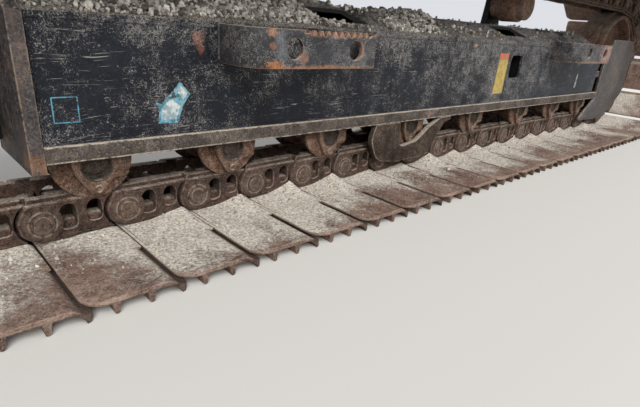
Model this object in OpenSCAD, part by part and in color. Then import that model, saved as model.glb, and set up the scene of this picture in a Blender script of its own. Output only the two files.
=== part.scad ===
// Track unit of a crawler excavator: one side frame with its rollers, idler,
// sprocket, final drive and the track around them.
// +X points at the idler, -Y at the outer side, +Z up. The grouser tips stand at Z 0.

/* [Track] */
// Distance from one track pin to the next
pitch = 190.5; // [180:0.5:200]
// Number of links in the loop
link_count = 52; // [50:1:56]
// Width of a shoe across the track
shoe_w = 800; // [600:10:900]
// Thickness of the shoe plate
shoe_t = 11; // [8:0.5:14]
// Height of a grouser below the shoe plate
grouser_h = 25; // [18:1:34]
// Width of a grouser at its tip
grouser_tip_w = 9; // [6:1:14]
// Width of a grouser at its root
grouser_root_w = 14; // [11:1:20]
// Distance from a shoe's leading edge to its first grouser
grouser_first = 51; // [40:1:56]
// Distance from the first grouser to the second
grouser_step = 68; // [60:1:74]
// Gap between two shoes on the straight run
shoe_gap = 2; // [1:0.5:5]
// How far a shoe starts ahead of its first pin
shoe_lead = 20; // [12:1:30]
// Height of the pins above the link side of the shoes
pin_over_shoe = 49; // [44:1:56]
// Height of the link rails above the pins
rail_over_pin = 57; // [50:1:64]
// How far the pins stand out beside the link rails
pin_out = 23; // [18:1:26]
// Width of a link's rail
rail_w = 33; // [28:1:36]
// Radius of the pins with their bushings
chain_pin_r = 30; // [26:1:33]
// How far the chain's ends stand above its bottom run
wheel_rise = 4; // [3:0.5:10]
// Part of a pitch by which the first pin lies past the sprocket's centre
chain_phase = 0.33; // [0:0.01:0.99]

/* [Sprocket and final drive] */
// Number of teeth on the sprocket, which meets every second one
sprocket_teeth = 23; // [21:2:25]
// Thickness of the sprocket's ring
sprocket_t = 64; // [50:1:80]
// Clearance between a bushing and the sprocket's root
tooth_gap = 2; // [1:0.5:4]
// Height of a tooth's tip above the pitch circle
tooth_tip_h = 14; // [8:1:20]
// Width of a tooth's tip
tooth_tip_w = 18; // [12:1:24]
// Radius of the hub that carries the sprocket
hub_r = 165; // [140:5:190]
// Radius of the final drive's cover
cover_r = 138; // [110:2:150]
// Distance from the track's middle to the face of the cover
cover_reach = 150; // [120:5:180]
// Radius of the travel motor's case
motor_r = 105; // [80:5:125]
// Length of the travel motor behind its bracket
motor_l = 190; // [140:5:230]
// Thickness of the bracket that carries the final drive
bracket_t = 32; // [24:1:40]

/* [Idler and adjuster] */
// Radius of the idler's pitch line
idler_pitch_r = 350; // [330:1:360]
// Clearance of the idler from the link rails and from its yoke
idler_gap = 5; // [5:0.5:8]
// Height of the idler's centre flange above its treads
idler_flange_h = 20; // [14:1:26]
// Clearance between the idler's centre flange and the links beside it
idler_flange_gap = 6; // [5:0.5:10]
// Radius of the idler's shaft
idler_shaft_r = 40; // [30:1:50]
// Radial clearance of the shaft in the idler
shaft_fit = 0.05; // [0.02:0.01:0.1]
// Length of a bearing block along the track
block_l = 150; // [120:5:180]
// Height of a bearing block
block_h = 104; // [96:2:130]
// Clearance of the bearing blocks in their guides
guide_gap = 1; // [0.5:0.1:2]
// Travel of the idler from its resting place towards the frame
adjust_travel = 80; // [40:5:90]
// Radius of the adjuster's rod
rod_r = 38; // [28:1:44]
// Outer radius of the recoil spring
spring_r = 78; // [70:1:86]
// Length of the recoil spring
spring_l = 600; // [500:10:650]

/* [Rollers] */
// Radius of a bottom roller's treads
roller_r = 76; // [68:1:82]
// Radius of a bottom roller's flanges
roller_flange_r = 92; // [84:1:95]
// Width of a bottom roller's flange
roller_flange_w = 12; // [8:1:14]
// Radius of a bottom roller's waist
roller_waist_r = 60; // [50:1:70]
// Radius of a bottom roller's shaft
roller_shaft_r = 32; // [26:1:36]
// Thickness of a roller's end collar
collar_t = 17; // [12:0.5:18]
// Radius of a carrier roller's treads
carrier_r = 60; // [50:1:64]
// Clearance between rollers and the link rails
roller_gap = 0.3; // [0.2:0.1:1]
// Play of a roller between its collars and beside the link rails
roller_play = 0.5; // [0.3:0.1:1]
// Gap between a roller's collar and the side plate
collar_side_gap = 2; // [1:0.5:4]
// Height of a collar's top above its shaft
shaft_cover = 6.2; // [4:0.2:10]

/* [Side frame] */
// Width of the side frame over its side plates
box_w = 248; // [240:2:260]
// Thickness of a side plate
side_t = 12; // [8:1:16]
// Height of the side frame's lower edge above the ground
box_bottom_z = 226.5; // [220:0.5:240]
// Height of the side frame's upper corner above the ground
box_top_z = 522; // [500:1:560]
// Clearance between the roof's ridge and the carrier rollers
ridge_gap = 20; // [12:1:30]
// Width of the flat ridge
ridge_w = 60; // [30:2:90]
// Thickness of the roof plates
roof_t = 12; // [8:1:16]
// Height of the bars along the frame's lower edges
bar_h = 38; // [30:1:48]
// Width by which the bars stand out from the side plates
bar_out = 12; // [6:1:18]
// Thickness of the bars that the rollers' collars are bolted to
seat_t = 30; // [24:1:36]
// Thickness of the frame's floor above the rollers
floor_t = 10; // [8:1:14]
// Thickness of the plate that closes the sprocket end
end_t = 30; // [20:1:36]
// Depth of the end plate below the frame's lower edge
end_drop = 21; // [10:1:24]

/* [Access hole] */
// Width of the access hole
access_w = 106; // [80:2:130]
// Height of the access hole
access_h = 98; // [70:2:120]
// Corner radius of the access hole
access_r = 20; // [10:1:30]
// Distance of the access hole's upper edge below the frame's upper corner
access_drop = 58; // [40:1:80]

/* [Places along the track] */
// Distance of the end plate from the sprocket's centre
end_plate_in = 462; // [450:1:480]
// Distance of the first bottom roller from the sprocket's centre
first_roller_in = 565; // [550:1:590]
// Distance of the last bottom roller from the idler's centre
last_roller_in = 434; // [420:1:460]
// Distance of the side plates' end from the idler's centre
side_plate_in = 336; // [320:1:350]
// Distance of the roof's end from the idler's centre
roof_in = 498; // [480:1:520]
// Distance of one carrier roller from the sprocket's centre
sprocket_carrier_in = 1289; // [1100:1:1400]
// Distance of the other carrier roller from the idler's centre
idler_carrier_in = 1324; // [1100:1:1400]
// Distance of one step's start from the sprocket's centre
sprocket_step_in = 881; // [800:1:950]
// Distance of the other step's start from the idler's centre
idler_step_in = 1076; // [1000:1:1200]
// Distance of the access hole from the idler's centre
access_in = 1463; // [1350:1:1550]
// Distance of the leg pads' centres from the frame's middle
pad_in = 620; // [500:10:700]

/* [Guards and steps] */
// Thickness of the plates that guard the idler's end
guard_t = 14; // [10:1:16]
// Thickness of the guards round the middle roller
centre_guard_t = 22; // [16:1:22]
// Thickness of a step's bar
step_t = 12; // [8:1:16]
// Distance from the side plate to the outer face of a step
step_out = 142; // [110:2:170]
// Height of a step's bar
step_h = 92; // [70:2:110]
// Bend radius of a step's closed end
step_bend_r = 70; // [40:2:90]
// Radius of the holes in a step
step_hole_r = 25; // [15:1:30]

/* [Leg pads] */
// Length of a pad that takes a leg of the centre frame
pad_l = 400; // [340:10:440]
// Height of a pad
pad_h = 210; // [180:5:230]
// Thickness of a pad
pad_t = 40; // [30:1:50]
// Distance between the outer bolt holes along the track
pad_bolt_x = 320; // [260:10:340]
// Distance between the bolt holes across the pad
pad_bolt_z = 140; // [110:5:150]
// Radius of the bolt holes
pad_hole_r = 18.5; // [12:0.5:20]

/* [Hidden] */
$fn = 96;

// Overlap of cutting shapes past the faces that they cut
cut = 1;
// Face to face gap of a piece that rests on another
seat = 0.3;

// The pitch line: pins that lie on an arc stand a whole pitch apart
sprocket_n = sprocket_teeth / 2;
sprocket_pitch_r = pitch / (2 * sin(180 / sprocket_n));
idler_n = 180 / asin(pitch / (2 * idler_pitch_r));
wheel_base = pitch * (link_count - (sprocket_n + idler_n) / 2) / 2;
// Shift that puts the origin under the middle of the whole unit
origin_shift = 1.5;
sprocket_x = -wheel_base / 2 + origin_shift;
idler_x = wheel_base / 2 + origin_shift;
pin_z = grouser_h + shoe_t + pin_over_shoe;
sprocket_z = pin_z + wheel_rise + sprocket_pitch_r;
idler_z = pin_z + wheel_rise + idler_pitch_r;
rail_z = pin_z + rail_over_pin;

// Ends of the four stretches of the loop, in pitches from under the sprocket
u_idler = wheel_base / pitch;
u_top = u_idler + idler_n / 2;
u_sprocket = u_top + wheel_base / pitch;

function chain_point(u) =
    u < u_idler ? bottom_point(sprocket_x + u * pitch)
    : u < u_top ? wheel_point(idler_x, idler_z, idler_pitch_r, (u - u_idler) * 360 / idler_n - 90)
    : u < u_sprocket ? top_point((u - u_top) / (u_sprocket - u_top))
    : wheel_point(sprocket_x, sprocket_z, sprocket_pitch_r, (u - u_sprocket) * 360 / sprocket_n + 90);

function wheel_point(x, z, r, angle) = [x + r * cos(angle), z + r * sin(angle)];

// The bottom run lies level under the rollers and rises a little to the wheels
function bottom_point(x) =
    let (level_from = first_roller_x - pitch, level_to = last_roller_x + pitch)
    [x, pin_z + wheel_rise * max(
        0, (x - level_to) / (idler_x - level_to), (level_from - x) / (level_from - sprocket_x)
    )];

// The upper run slopes evenly from the idler's top to the sprocket's
function top_z(share) =
    idler_z + idler_pitch_r + share * (sprocket_z + sprocket_pitch_r - idler_z - idler_pitch_r);
function top_point(share) = [idler_x - share * wheel_base, top_z(share)];

// Points on an arc, for outlines
function arc(x, y, r, from, to, steps) =
    [for (i = [0 : steps]) [x + r * cos(from + i * (to - from) / steps), y + r * sin(from + i * (to - from) / steps)]];

// Across the track, from the side plates in to the gap between the links
half_box = box_w / 2;
inner_half = half_box - side_t;
collar_out_y = inner_half - collar_side_gap;
collar_y = collar_out_y - collar_t;
shell_y = collar_y - roller_play;
flange_y = shell_y - roller_flange_w;
rail_outer_y = flange_y - roller_play;
half_gap = rail_outer_y - rail_w;
half_chain = rail_outer_y + pin_out;

// Upwards, from the bottom rollers to the floor above them
flange_floor_gap = 4;
roller_z = rail_z + roller_gap + roller_r;
seat_z = roller_z + roller_shaft_r + shaft_cover;
floor_z = roller_z + roller_flange_r + flange_floor_gap;
floor_top_z = floor_z + floor_t;

// Ends of the side frame
frame_end_x = sprocket_x + end_plate_in;
plate_end_x = idler_x - side_plate_in;
roof_end_x = idler_x - roof_in;

// The eight bottom rollers lie between these two places, spaced as the steps say
first_roller_x = sprocket_x + first_roller_in;
last_roller_x = idler_x - last_roller_in;
roller_steps = [0, 362, 377, 434, 457, 455, 393, 385];
function total(list, n) = n < 0 ? 0 : list[n] + total(list, n - 1);
roller_xs = [for (i = [0 : 7])
    first_roller_x + (last_roller_x - first_roller_x) * total(roller_steps, i) / total(roller_steps, 7)];

carrier_xs = [sprocket_x + sprocket_carrier_in, idler_x - idler_carrier_in];
pad_xs = [-pad_in, pad_in];
pad_z = (box_bottom_z + box_top_z) / 2;
access_x = idler_x - access_in;
access_z = box_top_z - access_drop - access_h;

// The upper run rests on the carrier rollers, and the roof's ridge lies under them
carrier_flange_h = 9;
function carrier_z(x) = top_z((idler_x - x) / wheel_base) - rail_over_pin - roller_gap - carrier_r;
ridge_z = carrier_z(carrier_xs[1]) - carrier_r - carrier_flange_h - ridge_gap;

// A flat outline in X and Z, given thickness along Y from y0 to y0 + t
module upright(y0, t) {
    translate([0, y0 + t, 0]) rotate([90, 0, 0]) linear_extrude(t) children();
}

// A flat outline in Y and Z, drawn out along X from x0 to x0 + l
module along(x0, l) {
    translate([x0, 0, 0]) rotate([90, 0, 90]) linear_extrude(l) children();
}

// A round bar along Y
module bar_y(x, z, y0, l, r) {
    translate([x, y0 + l, z]) rotate([90, 0, 0]) cylinder(h = l, r = r);
}

// A solid of revolution about an axis along Y, from radius and Y pairs
module turned(x, z, outline) {
    translate([x, 0, z]) rotate([-90, 0, 0]) rotate_extrude() polygon(outline);
}

// Children on both sides of the track's middle
module both_sides() {
    children();
    mirror([0, 1, 0]) children();
}

function pin_point(i) = chain_point((i + link_count + chain_phase) % link_count);

// Children at pin i, with X from one pin towards another and Z towards the wheels
module on_chain(i, from, to) {
    way = pin_point(to) - pin_point(from);
    at = pin_point(i);
    translate([at[0], 0, at[1]]) rotate([0, -atan2(way[1], way[0]), 0]) children();
}

module box_side(holed) {
    upright(-half_box, side_t) difference() {
        polygon([
            [frame_end_x, box_bottom_z], [plate_end_x, box_bottom_z],
            [plate_end_x, box_top_z - roof_t], [frame_end_x, box_top_z - roof_t]
        ]);
        if (holed) access_outline();
    }
}

module access_outline() {
    polygon(concat(
        arc(access_x + access_w - access_r, access_z + access_h - access_r, access_r, 0, 90, 8),
        arc(access_x + access_r, access_z + access_h - access_r, access_r, 90, 180, 8),
        arc(access_x + access_r, access_z + access_r, access_r, 180, 270, 8),
        arc(access_x + access_w - access_r, access_z + access_r, access_r, 270, 360, 8)
    ));
}

module side_plate_outer() {
    color("#22252b") box_side(true);
}

module side_plate_inner() {
    color("#22252b") mirror([0, 1, 0]) box_side(false);
}

module roof() {
    color("#3a3733") difference() {
        along(frame_end_x, roof_end_x - frame_end_x) polygon([
            [-half_box, box_top_z - roof_t], [-half_box, box_top_z], [-ridge_w / 2, ridge_z],
            [ridge_w / 2, ridge_z], [half_box, box_top_z], [half_box, box_top_z - roof_t],
            [half_box - side_t, box_top_z - roof_t], [ridge_w / 2, ridge_z - roof_t],
            [-ridge_w / 2, ridge_z - roof_t], [-half_box + side_t, box_top_z - roof_t]
        ]);
        for (x = roof_holes_x) roof_hole(x);
    }
}

// Lozenge openings in the roof's outer slope, by the place of their upper corner
sprocket_hole_in = 1172;
idler_hole_in = 1584;
roof_holes_x = [sprocket_x + sprocket_hole_in, idler_x - idler_hole_in];
roof_hole_l = 205;
roof_hole_shift = 75;
roof_hole_y = [38, 90];

module roof_hole(x) {
    translate([0, 0, box_top_z - roof_t - cut]) linear_extrude(ridge_z) polygon([
        [x, -roof_hole_y[0]], [x + roof_hole_l, -roof_hole_y[0]],
        [x + roof_hole_l + roof_hole_shift, -roof_hole_y[1]], [x + roof_hole_shift, -roof_hole_y[1]]
    ]);
}

module roller_seats() {
    color("#3a3733") both_sides()
        translate([frame_end_x, -inner_half, seat_z])
            cube([plate_end_x - frame_end_x, inner_half - collar_y - roller_play, seat_t]);
}

module frame_floor() {
    color("#3a3733")
        translate([frame_end_x, -inner_half, floor_z])
            cube([roof_end_x - frame_end_x, 2 * inner_half, floor_t]);
}

module edge_bars() {
    color("#5a4a40") both_sides()
        translate([frame_end_x, -half_box - bar_out, box_bottom_z])
            cube([guard_edge_x - seat - frame_end_x, bar_out, bar_h]);
}

module end_plate() {
    low = box_bottom_z - end_drop;
    out = half_box + bar_out;
    color("#4a403a") along(frame_end_x - end_t, end_t) polygon([
        [-out, low], [out, low], [out, box_top_z], [ridge_w / 2, ridge_z], [-ridge_w / 2, ridge_z], [-out, box_top_z]
    ]);
}

// The bracket reaches this far round the hub, and its foot rises by this much
bracket_out = 60;
bracket_foot_rise = 20;
motor_gap = 6;

module drive_bracket() {
    r = hub_r + bracket_out;
    foot_x = frame_end_x - end_t;
    color("#3a3733") difference() {
        upright(half_box - bracket_t, bracket_t) polygon(concat(
            [[foot_x, sprocket_z - r + bracket_foot_rise], [foot_x, box_top_z - roof_t]],
            arc(sprocket_x, sprocket_z, r, 60, 300, 24)
        ));
        bar_y(sprocket_x, sprocket_z, half_box - bracket_t - cut, bracket_t + 2 * cut, motor_r + motor_gap);
    }
}

module leg_pads() {
    color("#2b2d31") for (x = pad_xs) difference() {
        translate([x - pad_l / 2, half_box, pad_z - pad_h / 2]) cube([pad_l, pad_t, pad_h]);
        for (dx = [-1, 0, 1], dz = [-1, 1])
            bar_y(x + dx * pad_bolt_x / 2, pad_z + dz * pad_bolt_z / 2, half_box - cut, pad_t + 2 * cut, pad_hole_r);
    }
}

guide_in = 483;
guide_start_x = idler_x - guide_in;
guide_l = 590;
guide_h = 34;
guide_w = 26;
// The guards' inner faces lie a little inside the side plates' outer faces
guard_lap = 2;
guard_in_y = half_box - guard_lap;

module guide_rails() {
    color("#4a403a") both_sides() for (side = [-1, 1]) {
        low = side > 0 ? idler_z + block_h / 2 + guide_gap : idler_z - block_h / 2 - guide_gap - guide_h;
        union() {
            translate([guide_start_x, -inner_half, low]) cube([guide_l, guide_w, guide_h]);
            translate([plate_end_x, -guard_in_y, low])
                cube([guide_start_x + guide_l - plate_end_x, guard_in_y - inner_half + cut, guide_h]);
        }
    }
}

// Outline of an idler guard, from the idler's centre and from the ground
guard_edge_in = 291;
guard_edge_x = idler_x - guard_edge_in;
guard_outline = [
    [-481, 99], [-59, 90], [199, 238], [183, 545], [82, 571], [-205, 569], [-guard_edge_in, 480], [-guard_edge_in, 220]
];

module end_guards() {
    color("#4b4c50") both_sides() translate([idler_x, 0, 0])
        upright(-guard_in_y - guard_t, guard_t) polygon(guard_outline);
}

// Outline of a middle guard, from its roller's centre and from the ground
centre_guard_outline = [
    [-233, box_bottom_z], [-256, 173], [-214, 92], [-89, 76], [36, 80], [101, 98], [186, 205],
    [231, 214], [231, box_bottom_z], [161, box_bottom_z], [84, 193], [13, 146], [-94, 132],
    [-101, box_bottom_z]
];

module centre_guards() {
    color("#4a3a33") both_sides() translate([roller_xs[3], 0, 0])
        upright(-inner_half - centre_guard_t, centre_guard_t) polygon(centre_guard_outline);
}

// Steps: start, length, drop of the lower edge below the frame's upper corner, places of the two holes
step_table = [
    [sprocket_x + sprocket_step_in, 419, 92, 126, 339],
    [idler_x - idler_step_in, 430, 76, 129, 348]
];

module steps() {
    color("#2a2422") for (row = step_table)
        let (x = row[0], l = row[1], low = box_top_z - row[2], holes = [row[3], row[4]])
            step(x, l, low, holes);
}

module step(x, l, low, holes) {
    difference() {
        translate([x, -half_box, low]) linear_extrude(step_h) polygon(concat(
            [[0, 0]],
            arc(step_bend_r, -step_out + step_bend_r, step_bend_r, 180, 270, 12),
            [[l, -step_out], [l, -seat], [l - step_t, -seat], [l - step_t, -step_out + step_t]],
            arc(step_bend_r, -step_out + step_bend_r, step_bend_r - step_t, 270, 180, 12),
            [[step_t, 0]]
        ));
        for (hole = holes)
            bar_y(x + hole, low + step_h / 2, -half_box - step_out - cut, step_t + 2 * cut, step_hole_r);
    }
}

// Width of each slope from a roller's tread down to its waist
waist_slope = 8;

module roller_shells() {
    tread_end = half_gap - waist_slope;
    waist_end = tread_end - waist_slope;
    bore = roller_shaft_r + shaft_fit;
    color("#5c3f33") for (x = roller_xs) turned(x, roller_z, [
        [bore, -shell_y], [roller_flange_r, -shell_y], [roller_flange_r, -flange_y],
        [roller_r, -flange_y], [roller_r, -tread_end], [roller_waist_r, -waist_end],
        [roller_waist_r, waist_end], [roller_r, tread_end], [roller_r, flange_y],
        [roller_flange_r, flange_y], [roller_flange_r, shell_y], [bore, shell_y]
    ]);
}

// Depth of a shaft's end inside its collar
shaft_recess = 5;

module roller_shafts() {
    reach = collar_out_y - shaft_recess;
    color("#55504c") for (x = roller_xs) bar_y(x, roller_z, -reach, 2 * reach, roller_shaft_r);
}

// A collar narrows to a blunt tip below, and has a lug on the idler's side
collar_back = 50;
collar_shoulder = 10;
collar_drop = 78;
collar_tip_w = 36;
lug_root = 50;
lug_end = 78;
lug_under = 30;

module collar_outline() {
    tip_z = roller_z - collar_drop;
    lug_z = roller_z - lug_under;
    difference() {
        polygon([
            [-collar_back, seat_z], [-collar_back, roller_z - collar_shoulder], [-collar_tip_w / 2, tip_z],
            [collar_tip_w / 2, tip_z], [lug_root, lug_z], [lug_end, lug_z], [lug_end, seat_z]
        ]);
        translate([0, roller_z]) circle(r = roller_shaft_r);
    }
}

module roller_collars() {
    color("#4d3a30") both_sides() for (x = roller_xs)
        translate([x, 0, 0]) upright(-collar_out_y, collar_t) collar_outline();
}

// A carrier roller's centre flange stands between the links, with sloped sides
carrier_flange_play = 1;
carrier_bevel = 6;

module carrier_rollers() {
    foot = half_gap - carrier_flange_play;
    crest = half_gap - carrier_bevel;
    end = rail_outer_y;
    color("#5c3f33") for (x = carrier_xs) turned(x, carrier_z(x), [
        [0, -end], [carrier_r - carrier_bevel, -end], [carrier_r, -end + carrier_bevel],
        [carrier_r, -foot], [carrier_r + carrier_flange_h, -crest],
        [carrier_r + carrier_flange_h, crest], [carrier_r, foot],
        [carrier_r, end], [0, end]
    ]);
}

// A carrier roller's bracket stands on the roof's slope at the inner side
carrier_bracket_gap = 4;
carrier_bracket_t = 30;
carrier_bracket_l = 140;
carrier_head_l = 88;
carrier_head_over = 30;
carrier_pin_r = 24;
roof_slope = (ridge_z - box_top_z) / (half_box - ridge_w / 2);

module carrier_brackets() {
    in_y = rail_outer_y + carrier_bracket_gap;
    out_y = in_y + carrier_bracket_t;
    base_in = box_top_z + (half_box - in_y) * roof_slope + seat;
    base_out = base_in - carrier_bracket_t * roof_slope;
    color("#3a3733") for (x = carrier_xs) union() {
        bar_y(x, carrier_z(x), rail_outer_y + seat, out_y - rail_outer_y, carrier_pin_r);
        difference() {
            translate([x, 0, 0]) upright(in_y, carrier_bracket_t) polygon([
                [-carrier_bracket_l / 2, base_out], [carrier_bracket_l / 2, base_out],
                [carrier_head_l / 2, carrier_z(x) + carrier_head_over],
                [-carrier_head_l / 2, carrier_z(x) + carrier_head_over]
            ]);
            along(x - pitch, 2 * pitch) polygon([
                [in_y - cut, base_out - cut], [out_y + cut, base_out - cut],
                [out_y + cut, base_out - cut * roof_slope], [in_y - cut, base_in + cut * roof_slope]
            ]);
        }
    }
}

// Valleys of the sprocket meet the bushings where the chain lies on it
mesh_angle = 270 - (1 - chain_phase) * 360 / sprocket_n;
tooth_step = 360 / sprocket_teeth;
root_r = sprocket_pitch_r - chain_pin_r - tooth_gap;
tip_r = sprocket_pitch_r + tooth_tip_h;

// Half widths of a tooth at its root, flank and tip, as shares of the tooth spacing
tooth_root_share = 0.3;
tooth_flank_share = 0.2;
tooth_tip_share = tooth_tip_w / 2 / tip_r * 180 / PI / tooth_step;
// Depth of a tooth's flank inside the pitch circle
tooth_flank_in = 8;
flank_r = sprocket_pitch_r - tooth_flank_in;

function tooth(angle) = [
    for (p = [[root_r, -tooth_root_share], [flank_r, -tooth_flank_share], [tip_r, -tooth_tip_share],
              [tip_r, tooth_tip_share], [flank_r, tooth_flank_share], [root_r, tooth_root_share]])
        [p[0] * cos(angle + p[1] * tooth_step), p[0] * sin(angle + p[1] * tooth_step)]
];

module sprocket() {
    color("#4a3a33") upright(-sprocket_t / 2, sprocket_t) translate([sprocket_x, sprocket_z]) difference() {
        polygon([for (i = [0 : sprocket_teeth - 1]) each tooth(mesh_angle + (i + 0.5) * tooth_step)]);
        circle(r = hub_r);
    }
}

// The sprocket is bolted to the hub's flange, and the hub's back turns in the bracket
hub_flange_out = 45;
hub_flange_t = 24;
hub_neck_l = 6;
cover_bevel = 20;
hub_back_out = 30;
hub_back_step = 8;
motor_bevel = 12;
bracket_y = half_box - bracket_t;

module drive_hub() {
    face = sprocket_t / 2;
    flange_r = hub_r + hub_flange_out;
    back_r = motor_r + hub_back_out;
    color("#26282d") turned(sprocket_x, sprocket_z, [
        [0, -cover_reach], [cover_r - cover_bevel, -cover_reach], [cover_r, -cover_reach + cover_bevel],
        [cover_r, -face - hub_flange_t - hub_neck_l], [flange_r, -face - hub_flange_t], [flange_r, -face],
        [hub_r, -face], [hub_r, face], [back_r, face + hub_back_step], [back_r, bracket_y], [0, bracket_y]
    ]);
}

module drive_motor() {
    end = half_box + motor_l;
    color("#26282d") turned(sprocket_x, sprocket_z, [
        [0, bracket_y], [motor_r, bracket_y], [motor_r, end - motor_bevel], [motor_r - motor_bevel, end], [0, end]
    ]);
}

// The adjuster lies along the frame at the idler's height
spring_in = 1323;
spring_x = idler_x - spring_in;
spring_end_x = spring_x + spring_l;
seat_wall_t = 30;
cylinder_r = 52;
cylinder_tail = 60;
cylinder_fit = 1;
spring_fit = 6;
flange_t = 24;
rod_bore_gap = 0.5;
// Length of the rod inside the cylinder, and spare depth behind it at the end of its travel
rod_in = 60;
bore_spare = 20;

module bar_x(x0, l, r) {
    translate([x0, 0, idler_z]) rotate([0, 90, 0]) cylinder(h = l, r = r);
}

module spring_seat() {
    corner_z = box_top_z - roof_t - seat;
    color("#2b2d31") difference() {
        along(spring_x - seat_wall_t, seat_wall_t) polygon([
            [-inner_half, floor_top_z], [inner_half, floor_top_z], [inner_half, corner_z],
            [ridge_w / 2, ridge_z - roof_t - seat], [-ridge_w / 2, ridge_z - roof_t - seat],
            [-inner_half, corner_z]
        ]);
        bar_x(spring_x - seat_wall_t - cut, seat_wall_t + 2 * cut, cylinder_r + cylinder_fit);
    }
}

module recoil_spring() {
    color("#5a4a40") difference() {
        bar_x(spring_x, spring_l, spring_r);
        bar_x(spring_x - cut, spring_l + 2 * cut, cylinder_r + spring_fit);
    }
}

module adjuster_cylinder() {
    bore_l = rod_in + adjust_travel + bore_spare;
    color("#3f4146") difference() {
        union() {
            bar_x(spring_x - cylinder_tail, spring_l + cylinder_tail + cut, cylinder_r);
            bar_x(spring_end_x + seat, flange_t, spring_r);
        }
        bar_x(spring_end_x - bore_l, bore_l + flange_t + cut, rod_r + rod_bore_gap);
    }
}

module adjuster_rod() {
    color("#8a8784") bar_x(spring_end_x - rod_in, yoke_x - spring_end_x + rod_in, rod_r);
}

yoke_in = 443;
yoke_x = idler_x - yoke_in;
yoke_t = 40;
yoke_arm_t = 22;
// How much lower than the bearing blocks the yoke and its arms are, above and below
yoke_inset = 8;
arm_inset = 14;
arm_y = rail_outer_y + idler_gap;

module yoke() {
    out_y = arm_y + yoke_arm_t;
    arm_l = idler_x - block_l / 2 - yoke_x;
    color("#4a403a") union() {
        translate([yoke_x, -out_y, idler_z - block_h / 2 + yoke_inset])
            cube([yoke_t, 2 * out_y, block_h - 2 * yoke_inset]);
        both_sides() translate([yoke_x, -out_y, idler_z - block_h / 2 + arm_inset])
            cube([arm_l, yoke_arm_t, block_h - 2 * arm_inset]);
    }
}

module bearing_blocks() {
    color("#4b4c50") both_sides() difference() {
        translate([idler_x - block_l / 2, -inner_half + guide_gap, idler_z - block_h / 2])
            cube([block_l, inner_half - guide_gap - arm_y, block_h]);
        bar_y(idler_x, idler_z, -half_box, box_w, idler_shaft_r);
    }
}

module idler_shaft() {
    color("#8a8784") bar_y(idler_x, idler_z, -inner_half + guide_gap, 2 * (inner_half - guide_gap), idler_shaft_r);
}

// A link lies on the idler by its middle, nearer to the centre than its pins
idler_tread_r = sqrt(idler_pitch_r * idler_pitch_r - pitch * pitch / 4) - rail_over_pin - idler_gap;
idler_hub_r = 78;
idler_web_w = 40;
idler_rim_t = 34;
idler_bevel = 10;
idler_flange_bevel = 5;

module idler_wheel() {
    half_w = rail_outer_y;
    half_web = idler_web_w / 2;
    rim_r = idler_tread_r - idler_rim_t;
    crest_r = idler_tread_r + idler_flange_h;
    foot = half_gap - idler_flange_gap;
    crest = foot - idler_flange_bevel;
    bore = idler_shaft_r + shaft_fit;
    color("#4f4a46") turned(idler_x, idler_z, [
        [bore, -half_w], [idler_hub_r, -half_w], [idler_hub_r + idler_bevel, -half_web],
        [rim_r, -half_web], [rim_r + idler_bevel, -half_w],
        [idler_tread_r, -half_w], [idler_tread_r, -foot], [crest_r, -crest],
        [crest_r, crest], [idler_tread_r, foot], [idler_tread_r, half_w],
        [rim_r + idler_bevel, half_w], [rim_r, half_web],
        [idler_hub_r + idler_bevel, half_web], [idler_hub_r, half_w], [bore, half_w]
    ]);
}

// A pin with its bushing, across the whole chain, turned so that an edge meets a link on the arcs too
pin_turn = 4;

module track_pins() {
    color("#4d3a30") for (i = [0 : link_count - 1])
        on_chain(i, i - 1, i + 1) upright(-half_chain, 2 * half_chain)
            rotate(pin_turn) circle(r = chain_pin_r, $fn = 6);
}

// Outline of a link between two pins: a shoe seat below, a rail above
link_shoulder = 10;
link_fit = 0.1;
rail_end = 16.3;

module link_outline() {
    end = chain_pin_r + link_fit;
    polygon([
        [end, -pin_over_shoe + seat], [pitch - end, -pin_over_shoe + seat], [pitch - end, link_shoulder],
        [pitch - rail_end, rail_over_pin], [rail_end, rail_over_pin], [end, link_shoulder]
    ]);
}

module track_links() {
    color("#5c3f33") for (i = [0 : link_count - 1])
        on_chain(i, i, i + 1) both_sides() upright(-rail_outer_y, rail_w) link_outline();
}

// Outline of a shoe across its three grousers, the last one along its trailing edge
module shoe_outline() {
    start = -shoe_lead;
    end = pitch - shoe_lead - shoe_gap;
    top = -pin_over_shoe;
    low = top - shoe_t;
    tip = low - grouser_h;
    slant = (grouser_root_w - grouser_tip_w) / 2;
    first = start + grouser_first;
    polygon(concat(
        [[start, top], [end, top], [end, tip], [end - grouser_tip_w, tip], [end - grouser_root_w, low]],
        [for (at = [first + grouser_step, first]) each [
            [at + grouser_root_w, low], [at + grouser_root_w - slant, tip], [at + slant, tip], [at, low]
        ]],
        [[start, low]]
    ));
}

module track_shoes() {
    color("#6b5347") for (i = [0 : link_count - 1])
        on_chain(i, i, i + 1) upright(-shoe_w / 2, shoe_w) shoe_outline();
}

side_plate_outer();
side_plate_inner();
roof();
frame_floor();
roller_seats();
edge_bars();
end_plate();
drive_bracket();
leg_pads();
guide_rails();
end_guards();
centre_guards();
steps();
roller_shells();
roller_shafts();
roller_collars();
carrier_rollers();
carrier_brackets();
sprocket();
drive_hub();
drive_motor();
spring_seat();
recoil_spring();
adjuster_cylinder();
adjuster_rod();
yoke();
bearing_blocks();
idler_shaft();
idler_wheel();
track_pins();
track_links();
track_shoes();
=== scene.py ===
"""Dresses the track unit: the forged chain, the shoes, the roller ends, the welded side frame with its steps and
guards, and the rust, paint and dust on all of them. The builders work in millimetres, and piece() makes metres."""

import math

import bpy
import numpy as np
from mathutils import Matrix, Vector
from mathutils.geometry import tessellate_polygon


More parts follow.
